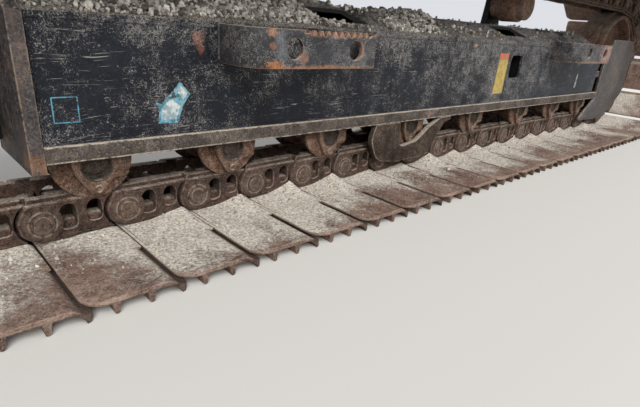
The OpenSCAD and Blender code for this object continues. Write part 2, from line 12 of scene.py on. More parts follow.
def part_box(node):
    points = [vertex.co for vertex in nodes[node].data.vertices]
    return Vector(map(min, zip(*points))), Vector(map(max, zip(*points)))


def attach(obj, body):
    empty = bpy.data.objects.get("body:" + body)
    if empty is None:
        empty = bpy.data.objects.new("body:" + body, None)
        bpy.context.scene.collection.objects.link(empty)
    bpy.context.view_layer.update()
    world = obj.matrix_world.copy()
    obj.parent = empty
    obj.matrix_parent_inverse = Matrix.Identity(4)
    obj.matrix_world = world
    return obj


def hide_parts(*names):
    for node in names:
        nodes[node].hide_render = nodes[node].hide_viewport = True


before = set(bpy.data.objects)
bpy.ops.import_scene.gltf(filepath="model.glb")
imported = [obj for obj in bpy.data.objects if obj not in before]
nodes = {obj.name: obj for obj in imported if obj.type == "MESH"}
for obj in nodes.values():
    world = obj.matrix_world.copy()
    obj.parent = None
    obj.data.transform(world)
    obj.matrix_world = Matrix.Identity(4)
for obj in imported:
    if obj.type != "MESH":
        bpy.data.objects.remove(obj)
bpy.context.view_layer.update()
rng = np.random.default_rng(190)


# ---- outlines
def unit(v):
    return v / np.maximum(np.linalg.norm(v, axis=-1, keepdims=True), 1e-9)


def turns(n):
    """The angles of n even turns."""
    return np.arange(n) * 2 * math.pi / n


def rounded(corners, steps=4):
    """A closed outline from (x, z, radius) corners."""
    pts = np.array([c[:2] for c in corners], float)
    out = []
    for i, (_, _, r) in enumerate(corners):
        here = pts[i]
        back, on = pts[i - 1] - here, pts[(i + 1) % len(pts)] - here
        lb, lo = np.linalg.norm(back), np.linalg.norm(on)
        if r <= 0:
            out.append(here)
            continue
        turn = math.pi - math.acos(np.clip(back @ on / (lb * lo), -1, 1))
        d = min(r * math.tan(turn / 2), 0.48 * lb, 0.48 * lo)
        a, b = here + back / lb * d, here + on / lo * d
        out += [(1 - t) ** 2 * a + 2 * t * (1 - t) * here + t * t * b for t in np.linspace(0, 1, steps + 1)]
    return np.array(out)


def ring(x, z, r, n):
    """A round hole's outline, clockwise."""
    return np.stack([x + r * np.cos(-turns(n)), z + r * np.sin(-turns(n))], 1)


def pulled_in(loop, d):
    """A closed outline moved into its material by d."""
    a = unit(loop - np.roll(loop, 1, 0))
    b = unit(np.roll(loop, -1, 0) - loop)
    na, nb = np.stack([-a[:, 1], a[:, 0]], 1), np.stack([-b[:, 1], b[:, 0]], 1)
    m = unit(na + nb)
    return loop + m * (d / np.clip((m * na).sum(1), 0.5, 1))[:, None]


def edge(t, r, wear):
    """Rings of a plate t thick with rounded edges: inset, depth, wear."""
    q = 0.29 * r
    return [(r, 0, 0), (q, q, wear), (0, r, 0), (0, t - r, 0), (q, t - q, wear), (r, t, 0)]


# ---- parts: points, triangles, wear
def outward(points, tris, wear):
    a, b, c = (points[tris[:, k]] for k in range(3))
    if (a * np.cross(b, c)).sum() < 0:
        tris = tris[:, ::-1]
    return points, tris, wear


def band(first, second, n):
    """Triangles between two closed rows of n points that start at first and second."""
    i = np.arange(n)
    j = (i + 1) % n
    return np.concatenate([
        np.stack([first + i, second + i, second + j], 1), np.stack([first + i, second + j, first + j], 1)
    ])


def cap(points, loops, first, front):
    """Triangles that close a flat front or back, whose points are numbered from first."""
    tris = np.array(tessellate_polygon([[Vector((*p, 0)) for p in loop] for loop in loops]))
    a, b, c = (points[tris[:, k]] for k in range(3))
    up = np.cross(b - a, c - a)[:, 1]
    wrong = up > 0 if front else up < 0
    tris[wrong] = tris[wrong][:, ::-1]
    return tris + first


def plate(outline, rings, holes=(), y=0.0, hole_share=1.0, hole_wear=1.0):
    """A plate in X and Z with holes, its front at y, from rings of inset, depth and wear."""
    loops = [np.asarray(l, float) for l in (outline, *holes)]
    shares = [1.0] + [hole_share] * len(holes)
    size = [len(l) for l in loops]
    starts = np.cumsum([0] + size)
    total = starts[-1]
    points, wear, tris = [], [], []
    for k, (inset, depth, worn) in enumerate(rings):
        flat = np.concatenate([pulled_in(l, inset * share) for l, share in zip(loops, shares)])
        points.append(np.stack([flat[:, 0], np.full(total, y + depth), flat[:, 1]], 1))
        wear.append(np.where(np.arange(total) < size[0], worn, min(1.0, worn * hole_wear)))
        if k:
            tris += [band((k - 1) * total + s, k * total + s, n) for s, n in zip(starts, size)]
    for k in (0, len(rings) - 1):
        tris.append(cap(points[k], [points[k][s:s + n, ::2] for s, n in zip(starts, size)], k * total, k == 0))
    return outward(np.concatenate(points), np.concatenate(tris), np.concatenate(wear))


def turned(profile, n, x=0.0, z=0.0, closed=False):
    """A solid of revolution with n sides about an axis along Y, from radius, y and wear."""
    i = np.arange(n)
    points, wear, tris, starts = [], [], [], []
    count = 0
    for r, y, worn in profile:
        starts.append((count, r == 0))
        a = turns(n)[:1 if r == 0 else n]
        points.append(np.stack([x + r * np.cos(a), np.full(len(a), float(y)), z + r * np.sin(a)], 1))
        wear.append(np.full(len(a), worn))
        count += len(a)
    for (s, tip_s), (t, tip_t) in zip(starts, starts[1:] + starts[:closed]):
        if tip_s:
            tris.append(np.stack([np.full(n, s), t + i, t + (i + 1) % n], 1))
        elif tip_t:
            tris.append(np.stack([s + i, np.full(n, t), s + (i + 1) % n], 1))
        else:
            tris.append(band(s, t, n))
    return outward(np.concatenate(points), np.concatenate(tris), np.concatenate(wear))


def lofted(rows, wear, hubs=None, caps=None):
    """A solid through equal rows of points. Its ends are fans, round two hubs if they are given, or ready caps."""
    rows = np.asarray(rows)
    n = rows.shape[1]
    flat = rows.reshape(-1, 3)
    last = len(flat) - n
    i, inner = np.arange(n), np.arange(1, n - 1)
    if hubs is not None:
        caps = [np.stack([i, (i + 1) % n, 0 * i + last + n], 1),
                np.stack([last + (i + 1) % n, last + i, 0 * i + last + n + 1], 1)]
        flat = np.concatenate([flat, hubs])
    elif caps is None:
        caps = [np.stack([0 * inner, inner, inner + 1], 1),
                np.stack([0 * inner, inner + 1, inner], 1) + last]
    tris = [band(k * n, (k + 1) * n, n) for k in range(len(rows) - 1)]
    return outward(flat, np.concatenate(tris + caps), np.resize(wear, len(flat)))


def joined(parts):
    points, tris, wear = zip(*parts)
    at = np.cumsum([0] + [len(p) for p in points])
    return np.concatenate(points), np.concatenate([t + k for t, k in zip(tris, at)]), np.concatenate(wear)


def placed(part, matrices):
    """Copies of a part, one for each 4 by 4 matrix."""
    p, t, w = part
    hom = np.concatenate([p, np.ones((len(p), 1))], 1)
    return joined([((hom @ m.T)[:, :3], t[:, ::-1] if np.linalg.det(m[:3, :3]) < 0 else t, w) for m in matrices])


def mirrored(part):
    return placed(part, [np.diag([1.0, -1.0, 1.0, 1.0])])


def both(part):
    return joined([part, mirrored(part)])


def shifted(x, y, z):
    m = np.eye(4)
    m[:3, 3] = x, y, z
    return m


def added(name, data):
    """A new object in the scene."""
    obj = bpy.data.objects.new(name, data)
    bpy.context.scene.collection.objects.link(obj)
    return obj


def piece(name, part, finish_name, slot, *stands_for, sharp=35, **marks):
    """Makes a part an object on the frame; its wear and other marks become values of its points."""
    points, tris, wear = part
    mesh = bpy.data.meshes.new(name)
    mesh.from_pydata((points * 0.001).tolist(), [], tris.tolist())
    for mark, values in {"wear": wear, **marks}.items():
        mesh.attributes.new(mark, "FLOAT", "POINT").data.foreach_set("value", np.asarray(values, np.float32))
    mesh.shade_smooth()
    mesh.set_sharp_from_angle(angle=math.radians(sharp))
    mesh.materials.append(FINISH[finish_name])
    obj = added(name, mesh)
    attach(obj, "frame")
    if stands_for:
        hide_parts(*stands_for)


def box_mm(node):
    """A node's lowest and highest corner, in millimetres."""
    low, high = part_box(node)
    return np.array(low) * 1000, np.array(high) * 1000


# ---- shader nodes
class Value:
    """A socket's value. + - * and abs() make Math nodes, and a | b is the higher of the two."""

    def __init__(self, wires, socket):
        self.wires, self.socket = wires, socket

    __add__ = lambda self, other: self.wires.math("ADD", self, other)
    __sub__ = lambda self, other: self.wires.math("SUBTRACT", self, other)
    __rsub__ = lambda self, other: self.wires.math("SUBTRACT", other, self)
    __mul__ = lambda self, other: self.wires.math("MULTIPLY", self, other)
    __or__ = lambda self, other: self.wires.math("MAXIMUM", self, other)
    __abs__ = lambda self: self.wires.math("ABSOLUTE", self)


class Wires:
    """Short calls for adding and linking shader nodes in one tree. Colours are linear red, green and blue."""

    def __init__(self, tree):
        self.tree = tree

    def feed(self, socket, value):
        if isinstance(value, Value):
            self.tree.links.new(value.socket, socket)
        else:
            socket.default_value = (*value, 1.0) if socket.type == "RGBA" else value

    def node(self, kind, out, inputs={}, **settings):
        n = self.tree.nodes.new("ShaderNode" + kind)
        for key, value in settings.items():
            setattr(n, key, value)
        for key, value in inputs.items():
            self.feed(n.inputs[key], value)
        return Value(self, n.outputs[out])

    def math(self, op, a, b=0.0):
        return self.node("Math", 0, {0: a, 1: b}, operation=op)

    def vector(self, op, a, inputs, out=0):
        return self.node("VectorMath", out, {0: a, **inputs}, operation=op)

    def at(self):
        """The place on the object, in metres."""
        return self.node("TexCoord", 3)

    def axis(self, k):
        """The place along X, Y or Z."""
        return self.node("SeparateXYZ", k, {0: self.at()})

    def upward(self):
        """1 where the surface faces up, -1 where it faces down."""
        return self.node("SeparateXYZ", 2, {0: self.node("TexCoord", 1)})

    def sized(self, size):
        return self.vector("SCALE", self.at(), {"Scale": size})

    def stretch(self, vector, scale, turn=(0, 0, 0)):
        return self.node("Mapping", 0, {"Vector": vector, "Rotation": turn, "Scale": scale})

    def noise(self, scale, detail=4, rough=0.55, at=None):
        given = {"Vector": at or self.at(), "Scale": scale, "Detail": detail, "Roughness": rough}
        return self.node("TexNoise", 0, given)

    def spread(self, value, low, high, to_low=0.0, to_high=1.0):
        return self.node("MapRange", 0, {0: value, 1: low, 2: high, 3: to_low, 4: to_high})

    def mix(self, share, a, b):
        return self.node("Mix", 2, {0: share, 6: a, 7: b}, data_type="RGBA")

    def mark(self, name, out="Fac"):
        """A value that the object's points carry."""
        return self.node("Attribute", out, attribute_name=name)


def shared(name, takes, gives):
    """Builds a shader group once, from a function of what it takes. A call to the function then places the group
    in a tree, and gives its outputs."""
    def build(make):
        tree = bpy.data.node_groups.new(name, "ShaderNodeTree")
        for in_out, labels in (("INPUT", takes), ("OUTPUT", gives)):
            for label in labels:
                kind = "NodeSocketColor" if label in ("Dark", "Middle", "Light", "Color") else "NodeSocketFloat"
                tree.interface.new_socket(name=label, in_out=in_out, socket_type=kind)
        w = Wires(tree)
        given, results = tree.nodes.new("NodeGroupInput"), tree.nodes.new("NodeGroupOutput")
        made = make(w, *(Value(w, given.outputs[label]) for label in takes))
        for label, value in zip(gives, made if len(gives) > 1 else [made]):
            w.feed(results.inputs[label], value)

        def use(w, *values):
            n = w.tree.nodes.new("ShaderNodeGroup")
            n.node_tree = tree
            for socket, value in zip(n.inputs, values, strict=True):
                w.feed(socket, value)
            outputs = [Value(w, s) for s in n.outputs]
            return outputs if len(outputs) > 1 else outputs[0]
        return use
    return build


@shared("Mottling", ["Dark", "Middle", "Light", "Size"], ["Color", "Height"])
def mottled(w, dark, middle, light, size):
    """Mottled colour from three tones, and the height of its scale."""
    at = w.sized(size)
    mid, fine = w.noise(48, 4, 0.65, at), w.noise(170, 3, 0.7, at)
    tone = w.noise(8, at=at) * 0.7 + (mid * 0.9 + fine * 1.1)
    low = w.mix(w.spread(tone, 1.08, 1.34), dark, middle)
    return w.mix(w.spread(tone, 1.34, 1.68), low, light), mid * 0.6 + fine * 0.7


@shared("Flecks", ["Amount", "Extra", "Size"], ["Mask"])
def fleck_marks(w, amount, extra, size):
    """Curled hair marks, chips and specks, thick in some patches and thin in others."""
    at = w.sized(size)
    patch = w.noise(5.5, 4, 0.6, at) * 0.8 + w.noise(26, 3, 0.6, at) * 0.55
    thick = patch - 0.67 + (amount * 0.4 + extra)
    hairs = 0.0
    for scale, width, drop in ((26.0, 0.011, 0.0), (70.0, 0.026, 0.02), (150.0, 0.045, 0.04)):
        curl = w.spread(abs(w.noise(scale, 3, 0.6, at) - 0.5), width, width * 0.35)
        cut = w.spread(w.noise(scale * 3.1, 2, 0.6, at) + thick, 0.64 + drop, 0.74 + drop)
        hairs = curl * cut | hairs
    chip = w.spread(w.noise(430, 2, 0.6, w.stretch(at, (1, 1, 0.6))) + thick * 0.4, 0.66, 0.78)
    speck = w.spread(w.noise(235, 3, 0.8, at) + thick * 0.5, 0.77, 0.86)
    return (hairs * 0.9 | chip * 0.75 | speck) * w.spread(w.noise(75, 3, 0.7, at), 0.34, 0.62, 0.3, 1.0)


@shared("Scratches", ["Amount"], ["Mask"])
def scratch_lines(w, amount):
    """Long thin scratches at several slants."""
    waves = w.node("TexNoise", 1, {"Vector": w.at(), "Scale": 5.0, "Detail": 2.0})
    bent = w.vector("ADD", w.at(), {1: w.vector("SCALE", waves, {"Scale": 0.035})})
    lines = 0.0
    for turn, size in ((0.6, (11, 150, 400)), (1.4, (5, 150, 380)), (1.75, (6, 150, 380)), (0.85, (5, 150, 400)),
                       (-0.75, (6, 150, 400))):
        line = w.noise(1, 2, 0.5, w.stretch(bent, size, (0, turn, 0)))
        lines = w.spread(line - (0.8 - amount * 0.13), 0.0, 0.03) | lines
    return lines * w.spread(w.noise(20, 3), 0.44, 0.6)


@shared("Settled dust", ["Amount", "Everywhere"], ["Mask", "Grain"])
def settled_dust(w, amount, everywhere):
    """Dust that lies on upward faces and fades in patches."""
    grain = w.noise(210, 3, 0.7)
    level = w.spread(w.upward(), 0.25, 0.95) * amount | everywhere
    return w.spread(w.noise(22, 4, 0.68) * 0.9 + grain * 0.7 + level, 1.05, 1.4), grain


@shared("Rubbed edges", ["Amount"], ["Mask"])
def rubbed_edges(w, amount):
    """Edges rubbed bright, broken up: by the wear of the points, or by the form where they carry none."""
    by_form = w.spread(w.node("NewGeometry", 7), 0.53, 0.62) * (1.0 - w.mark("wear", "Alpha"))
    return (w.mark("wear") | by_form) * w.spread(w.noise(70, 3, 0.7), 0.36, 0.56) * amount


@shared("Runs", ["Amount"], ["Mask"])
def run_marks(w, amount):
    """Runs down upright faces."""
    run = w.noise(1, 3, 0.6, w.stretch(w.at(), (75, 75, 4))) * 0.75 + w.noise(30, 3, 0.6) * 0.25
    return w.spread(run - (0.68 - amount * 0.22), 0.0, 0.1)


@shared("Lost paint", ["Share", "Size"], ["Mask", "Rim"])
def lost_paint(w, share, size):
    """Where rust has taken the paint in ragged patches, and a rim round them."""
    at = w.sized(size)
    level = w.noise(11, 5, 0.62, at) * 0.75 + w.noise(75, 3, 0.7, at) * 0.25 + share * 0.35
    return w.spread(level, 0.7, 0.725), w.spread(level, 0.66, 0.7)


def spot(w, centre, size):
    """A ragged patch round a place, in metres."""
    away = w.vector("DIVIDE", w.vector("SUBTRACT", w.at(), {1: centre}), {1: size})
    ragged = w.noise(70, 5, 0.78) * 2.6 - 1.3
    return w.spread(w.vector("LENGTH", away, {}, 1) + ragged, 1.1, 0.7) * 0.85


# ---- finishes: tones are linear, places in metres
FINISH = {}
DUST, DARK_DUST = (0.46, 0.4, 0.325), (0.2, 0.165, 0.13)
BOX_INSIDE = (0.1128, 0.1118)  # half widths, in metres, between which the painted shade inside the box begins


class Surface(Wires):
    """The wires of a new material, which is kept in FINISH under its name."""

    def __init__(self, name):
        FINISH[name] = mat = bpy.data.materials.new(name)
        mat.use_nodes = True
        super().__init__(mat.node_tree)

    def dress(self, color, rough, shine=0.5, metal=0.0, bump=0.0, height=0.0, deep=0.004):
        given = {"Base Color": color, "Roughness": rough, "Specular IOR Level": shine, "Metallic": metal}
        if bump:
            given["Normal"] = self.node("Bump", 0, {"Strength": bump, "Distance": deep, "Height": height})
        for label, value in given.items():
            self.feed(self.tree.nodes["Principled BSDF"].inputs[label], value)


def finish(name, tones, size=1.0, rough=(0.7, 0.95), metal=0.0, shine=0.35, bump=0.3, flecks=0.4,
           fleck=(0.24, 0.2, 0.165), flecks_by_height=None, dust=0.7, all_over=0.0, edges=0.8, rub=(0.36, 0.3, 0.25),
           scratches=0.3, runs=0.0, run=(0.12, 0.07, 0.045), rust=None, rust_tones=None, spots=(), sheen_along_x=None,
           shade_inside_box=False):
    """Mottled tones, and over them in turn: a share of rust, a painted sheen that grows along X, spots, runs, flecks,
    scratches, rubbed edges, dust, and painted shade on the faces inside the box that do not face up.
    """
    w = Surface(name)
    color, height = mottled(w, *tones, size)
    if rust is not None:
        gone, rim = lost_paint(w, rust, size)
        color = w.mix(gone, w.mix(rim * 0.5, color, rust_tones[2]), mottled(w, *rust_tones, 1.5)[0])
        height = height - gone * 0.5
    # Painted sheen: the paint turns paler blue-grey further along X, away from the sprocket end.
    if sheen_along_x:
        color = w.mix(w.spread(w.axis(0), *sheen_along_x), color, (0.05, 0.056, 0.066))
    for centre, reach, tone in spots:
        shaded = w.mix(w.spread(height, 0.5, 0.8), [0.35 * t for t in tone], tone)
        color = w.mix(spot(w, centre, reach), color, shaded)
    color = w.mix(run_marks(w, runs) * 0.7, color, run)
    extra = 0.0
    if flecks_by_height:
        along = w.spread(w.axis(0), -0.4, 0.3, 0.0, 0.16) - w.spread(w.axis(0), 0.6, 1.1, 0.0, 0.17)
        extra = w.spread(w.axis(2), *flecks_by_height) + along
    marks = fleck_marks(w, flecks, extra, size)
    lines = scratch_lines(w, scratches)
    color = w.mix(lines * 0.6, w.mix(marks * 0.72, color, fleck), fleck)
    color = w.mix(rubbed_edges(w, edges), color, rub)
    dusty, grain = settled_dust(w, dust, all_over)
    color = w.mix(dusty * 0.88, color, w.mix(w.spread(grain, 0.35, 0.65), DARK_DUST, DUST))
    # Painted shade: faces inside the box that do not face up are made near black.
    if shade_inside_box:
        inside = w.spread(abs(w.axis(1)), *BOX_INSIDE) * w.spread(w.upward(), 0.5, 0.3)
        color = w.mix(inside, color, (0.006, 0.0055, 0.005))
    covered = marks | dusty
    roughness = w.spread(covered, 0.0, 1.0, w.spread(height, 0.4, 0.9, *rough), rough[1])
    w.dress(color, roughness, shine, metal, bump, covered * 0.4 + (height - lines * 0.25))


def shoe_finish():
    """Red-brown rust, with pale grit spreading outwards from the chain on the lower run, and painted shade in the dips
    under the shoes' lapped lips.
    """
    w = Surface("shoe_rust_finish")
    color, height = mottled(w, (0.06, 0.036, 0.028), (0.165, 0.1, 0.076), (0.34, 0.235, 0.185), 1.1)
    color = w.mix(fleck_marks(w, 0.62, 0.0, 0.9) * 0.7, color, (0.42, 0.33, 0.26))
    near_chain = w.spread(abs(w.axis(1)), 0.1, 0.42, 1.1, 0.0)
    broad = w.noise(1, 4, 0.6, w.stretch(w.at(), (5.2, 4, 4)))
    # The dip under the next shoe's lip is marked on the points: grit is kept out of it, and on the lower run it gets
    # painted shade, near black.
    grit, seam = w.noise(150, 3, 0.75), w.mark("seam")
    level = w.mark("heap") * 0.6 + near_chain * 0.5 + (broad * 1.45 + (w.noise(38, 4, 0.65) * 0.4 + grit * 0.35))
    fourth_shoe = w.spread(abs(w.axis(0) + 1.1), 0.22, 0.38, 0.2, 0.0)
    cover = w.spread(level + fourth_shoe, 1.24, 1.48) * (1.0 - seam) * w.spread(w.upward(), 0.3, 0.7)
    mud = w.mix(w.spread(grit, 0.38, 0.62), (0.38, 0.33, 0.27), (0.92, 0.86, 0.75))
    color = w.mix(rubbed_edges(w, 0.85), w.mix(cover * 0.86, color, mud), (0.36, 0.27, 0.21))
    color = w.mix(seam * 0.7 * w.spread(w.axis(2), 0.16, 0.1), color, (0.016, 0.011, 0.009))
    w.dress(color, 0.92, 0.2, 0.0, 0.9, height + cover * (grit * 1.6 + 0.4))


def grit_finish(name, dark, pale):
    """Loose stones, each with a tone of its own."""
    w = Surface(name)
    grain = w.spread(w.noise(190, 3, 0.75), 0.36, 0.66)
    own = w.mix(0.1, w.mix(w.mark("wear"), dark, pale), (0.17, 0.145, 0.115))
    w.dress(w.mix(grain * 0.16, own, (0.5, 0.45, 0.38)), 0.95, 0.2, 0.0, 0.8, grain)


def film_finish(name, first, second, share):
    """A blank film label, a share of it worn through to the paint."""
    w = Surface(name)
    two = w.mix(w.spread(w.noise(60, 3), 0.45, 0.55), first, second)
    worn = w.mix(lost_paint(w, share, 2.6)[0], two, (0.03, 0.032, 0.038))
    w.dress(w.mix(fleck_marks(w, 0.5, 0.0, 1.2) * 0.6, worn, (0.2, 0.17, 0.14)), 0.5)


def drift_finish():
    """Dusty mud with fine grains."""
    w = Surface("drift_finish")
    grain = w.noise(230, 3, 0.8)
    color = w.mix(w.spread(grain, 0.38, 0.64), (0.022, 0.019, 0.016), (0.27, 0.245, 0.21))
    brown = w.spread(w.noise(14, 4, 0.6), 0.48, 0.75, 0.0, 0.6)
    w.dress(w.mix(brown, color, (0.04, 0.034, 0.028)), 0.95, 0.2, 0.0, 0.9, grain, 0.003)


FINISHES = {
    "blue_black_paint": dict(
        tones=((0.0025, 0.003, 0.0055), (0.0045, 0.006, 0.0105), (0.012, 0.0145, 0.021)), size=0.9, rough=(0.42, 0.75),
        shine=0.24, flecks=0.19, fleck=(0.4, 0.375, 0.345), flecks_by_height=(0.42, 0.54, 0.0, 0.16), dust=0.3,
        edges=0.5, scratches=0.75, runs=0.28, run=(0.07, 0.068, 0.066), bump=0.12, sheen_along_x=(0.1, 1.5, 0.0, 0.35),
        shade_inside_box=True,
        spots=(((-1.105, -0.124, 0.484), (0.017, 0.1, 0.02), (0.2, 0.085, 0.062)),
               ((-1.098, -0.124, 0.462), (0.01, 0.1, 0.012), (0.2, 0.08, 0.06)),
               ((0.139, -0.124, 0.498), (0.012, 0.1, 0.008), (0.45, 0.2, 0.08)))),
    "edge_bar_finish": dict(
        tones=((0.014, 0.011, 0.01), (0.045, 0.034, 0.028), (0.12, 0.095, 0.076)), size=1.3, rough=(0.65, 0.92),
        flecks=0.5, fleck=(0.33, 0.28, 0.23), dust=0.95, all_over=0.02, edges=0.95, rub=(0.6, 0.52, 0.43),
        runs=0.2, run=(0.13, 0.05, 0.03), bump=0.5, rust=0.2,
        rust_tones=((0.05, 0.026, 0.018), (0.14, 0.075, 0.05), (0.26, 0.15, 0.1))),
    "end_plate_finish": dict(
        tones=((0.012, 0.012, 0.015), (0.034, 0.03, 0.031), (0.11, 0.088, 0.078)), rough=(0.5, 0.85), flecks=0.42,
        dust=0.4, rub=(0.3, 0.22, 0.16), scratches=0.35, runs=0.5, run=(0.09, 0.055, 0.038), bump=0.35,
        rust=0.38, rust_tones=((0.035, 0.02, 0.015), (0.085, 0.05, 0.036), (0.19, 0.115, 0.078)),
        spots=(((-1.49, -0.14, 0.235), (0.03, 0.05, 0.022), (0.22, 0.105, 0.055)),
               ((-1.47, -0.14, 0.215), (0.012, 0.05, 0.03), (0.25, 0.115, 0.055)))),
    "guard_paint_finish": dict(
        tones=((0.02, 0.02, 0.023), (0.04, 0.038, 0.039), (0.088, 0.076, 0.07)), size=0.8, rough=(0.45, 0.7),
        flecks=0.34, fleck=(0.25, 0.2, 0.16), dust=0.5, rub=(0.38, 0.35, 0.32), scratches=0.4, runs=0.6,
        run=(0.11, 0.085, 0.065), bump=0.1),
    "step_finish": dict(
        tones=((0.004, 0.005, 0.007), (0.01, 0.011, 0.015), (0.036, 0.037, 0.042)), size=1.2, rough=(0.35, 0.8),
        shine=0.45, fleck=(0.34, 0.31, 0.285), edges=1.0, rub=(0.34, 0.17, 0.09), scratches=0.8, runs=0.2,
        run=(0.1, 0.05, 0.03), rust=0.06, rust_tones=((0.075, 0.035, 0.022), (0.23, 0.1, 0.05), (0.42, 0.21, 0.11)),
        spots=[((x, -0.2, z), (w, 0.2, h), tone) for x, z, w, h, tone in (
            (-0.965, 0.478, 0.024, 0.04, (0.13, 0.135, 0.152)), (-0.82, 0.43, 0.2, 0.01, (0.31, 0.14, 0.068)),
            (-0.985, 0.439, 0.024, 0.013, (0.42, 0.17, 0.06)), (-0.992, 0.512, 0.015, 0.013, (0.34, 0.16, 0.085)),
            (-0.99, 0.48, 0.01, 0.01, (0.28, 0.13, 0.07)), (-0.77, 0.518, 0.15, 0.012, (0.34, 0.17, 0.1)),
            (-0.895, 0.455, 0.018, 0.018, (0.22, 0.11, 0.065)), (-0.7, 0.478, 0.024, 0.028, (0.22, 0.11, 0.065)),
            (1.22, 0.49, 0.09, 0.07, (0.36, 0.21, 0.16)), (1.05, 0.447, 0.2, 0.01, (0.3, 0.15, 0.08)))]),
    "roller_rust_finish": dict(
        tones=((0.022, 0.012, 0.008), (0.12, 0.066, 0.044), (0.33, 0.21, 0.15)), size=1.5, rough=(0.8, 0.97), shine=0.2,
        flecks=0.38, fleck=(0.36, 0.29, 0.23), all_over=0.02, edges=0.7, rub=(0.34, 0.25, 0.19), scratches=0.1,
        runs=0.1, run=(0.05, 0.02, 0.013), bump=0.9),
    "guard_rust_finish": dict(
        tones=((0.01, 0.007, 0.005), (0.034, 0.022, 0.016), (0.1, 0.07, 0.05)), size=1.3, shine=0.2, flecks=0.26,
        fleck=(0.24, 0.19, 0.145), rub=(0.4, 0.34, 0.28), scratches=0.2, runs=0.2, run=(0.11, 0.055, 0.035), bump=0.5),
    "chain_rust_finish": dict(
        tones=((0.009, 0.0055, 0.0045), (0.046, 0.026, 0.019), (0.15, 0.09, 0.064)), size=1.5, rough=(0.75, 0.97),
        shine=0.25, flecks=0.32, fleck=(0.25, 0.175, 0.13), dust=0.4, edges=0.9, rub=(0.42, 0.33, 0.26),
        scratches=0.15, runs=0.1, run=(0.04, 0.018, 0.012), bump=0.9),
    "worn_steel_finish": dict(
        tones=((0.05, 0.04, 0.034), (0.15, 0.12, 0.1), (0.34, 0.3, 0.26)), size=1.4, rough=(0.4, 0.8), metal=0.6,
        shine=0.5, flecks=0.3, dust=0.5, edges=0.7, rub=(0.5, 0.46, 0.42), scratches=0.4),
    "dark_spring_finish": dict(
        tones=((0.015, 0.013, 0.012), (0.045, 0.038, 0.033), (0.12, 0.1, 0.085)), size=1.2, rough=(0.45, 0.85),
        flecks=0.15, dust=0.3, edges=0.6, scratches=0.1),
    "greasy_well_finish": dict(
        tones=((0.008, 0.006, 0.005), (0.03, 0.021, 0.016), (0.1, 0.075, 0.055)), size=1.8, shine=0.2, flecks=0.5,
        fleck=(0.22, 0.18, 0.14), dust=0.3, rub=(0.3, 0.25, 0.2), scratches=0.0, bump=0.8),
}
for name, values in FINISHES.items():
    finish(name, **values)
finish("bead_finish", **FINISHES["blue_black_paint"] | dict(dust=0.1, spots=(), flecks=0.2, edges=0.3, bump=0.4))
shoe_finish()
grit_finish("grit_finish", (0.05, 0.043, 0.037), (0.9, 0.84, 0.75))
grit_finish("shoe_grit_finish", (0.3, 0.255, 0.205), (0.95, 0.9, 0.8))
film_finish("yellow_film", (0.42, 0.3, 0.055), (0.31, 0.225, 0.06), 0.24)
film_finish("orange_film", (0.46, 0.12, 0.04), (0.38, 0.1, 0.04), 0.05)
film_finish("blue_film", (0.14, 0.34, 0.41), (0.03, 0.15, 0.21), 0.36)
film_finish("white_film", (0.52, 0.56, 0.54), (0.2, 0.3, 0.33), 0.36)
film_finish("small_film", (0.36, 0.38, 0.38), (0.12, 0.13, 0.14), 0.42)
film_finish("blue_line_film", (0.06, 0.27, 0.36), (0.04, 0.17, 0.24), 0.4)
drift_finish()


# ---- the chain
def islands(node):
    """The points of each of a node's solids, in millimetres."""
    mesh = nodes[node].data
    co = np.zeros(len(mesh.vertices) * 3)
    mesh.vertices.foreach_get("co", co)
    co = co.reshape(-1, 3) * 1000
    _, key = np.unique(np.round(co, 2), axis=0, return_inverse=True)
    key = key.ravel()
    tri = key[np.array([p.vertices for p in mesh.polygons])]
    root = np.arange(key.max() + 1)
    while True:
        new = root.copy()
        for corner in tri.T:
            np.minimum.at(new, corner, root[tri].min(1))
        new = new[new]
        if (new == root).all():
            return [co[root[key] == v] for v in np.unique(root)]
        root = new


pins = np.array([(p.min(0) + p.max(0)) / 2 for p in islands("track_pins")])[:, [0, 2]]
hub_of_loop = (pins.min(0) + pins.max(0)) / 2
pins = pins[np.argsort(np.arctan2(*(pins - hub_of_loop).T[::-1]))]
pitch = float(np.linalg.norm(pins[1] - pins[0]))

link_frames = []
for here, there in zip(pins, np.roll(pins, -1, 0)):
    dx, dz = unit(there - here)
    link_frames.append(np.array([[dx, 0, -dz, here[0]], [0, 1, 0, 0], [dz, 0, dx, here[1]], [0, 0, 0, 1.0]]))

# Half widths, and heights from the line through the pins
RAIL_OUT, CHAIN_OUT, SHOE_OUT = (-box_mm(node)[0][1] for node in ("track_links", "track_pins", "track_shoes"))
RAIL_IN, BODY_OUT = RAIL_OUT - 33, RAIL_OUT + 17
SHOE_TOP, RAIL_TOP = -49, 57

# Nut windows in a link: left and right edge, and sill
WINDOWS = ((37, 75, -24), (97, 134, -16))


def window(x0, x1, sill, grow=0.0):
    """An arched window, clockwise, wider all round by grow."""
    x0, x1, mid = x0 - grow, x1 + grow, (x0 + x1) / 2
    half = (x1 - x0) / 2
    top = [(mid + half * math.cos(a), 18 + grow + half * math.sin(a)) for a in np.linspace(math.pi, 0, 9)]
    low = [(x1, sill + 12), (x1 - 4, sill + 3 - grow), (mid + 7, sill - grow), (mid - 7, sill - grow),
           (x0 + 4, sill + 3 - grow), (x0, sill + 12)]
    return np.array(top + low)


def leaning(part):
    """The far end of a link lies a little behind its near end, so the next link can lap over it."""
    p, t, w = part
    lean = 8.5 * np.clip((p[:, 0] - 30) / 110, 0, 1)
    return p + lean[:, None] * [0, 1, 0], t, w


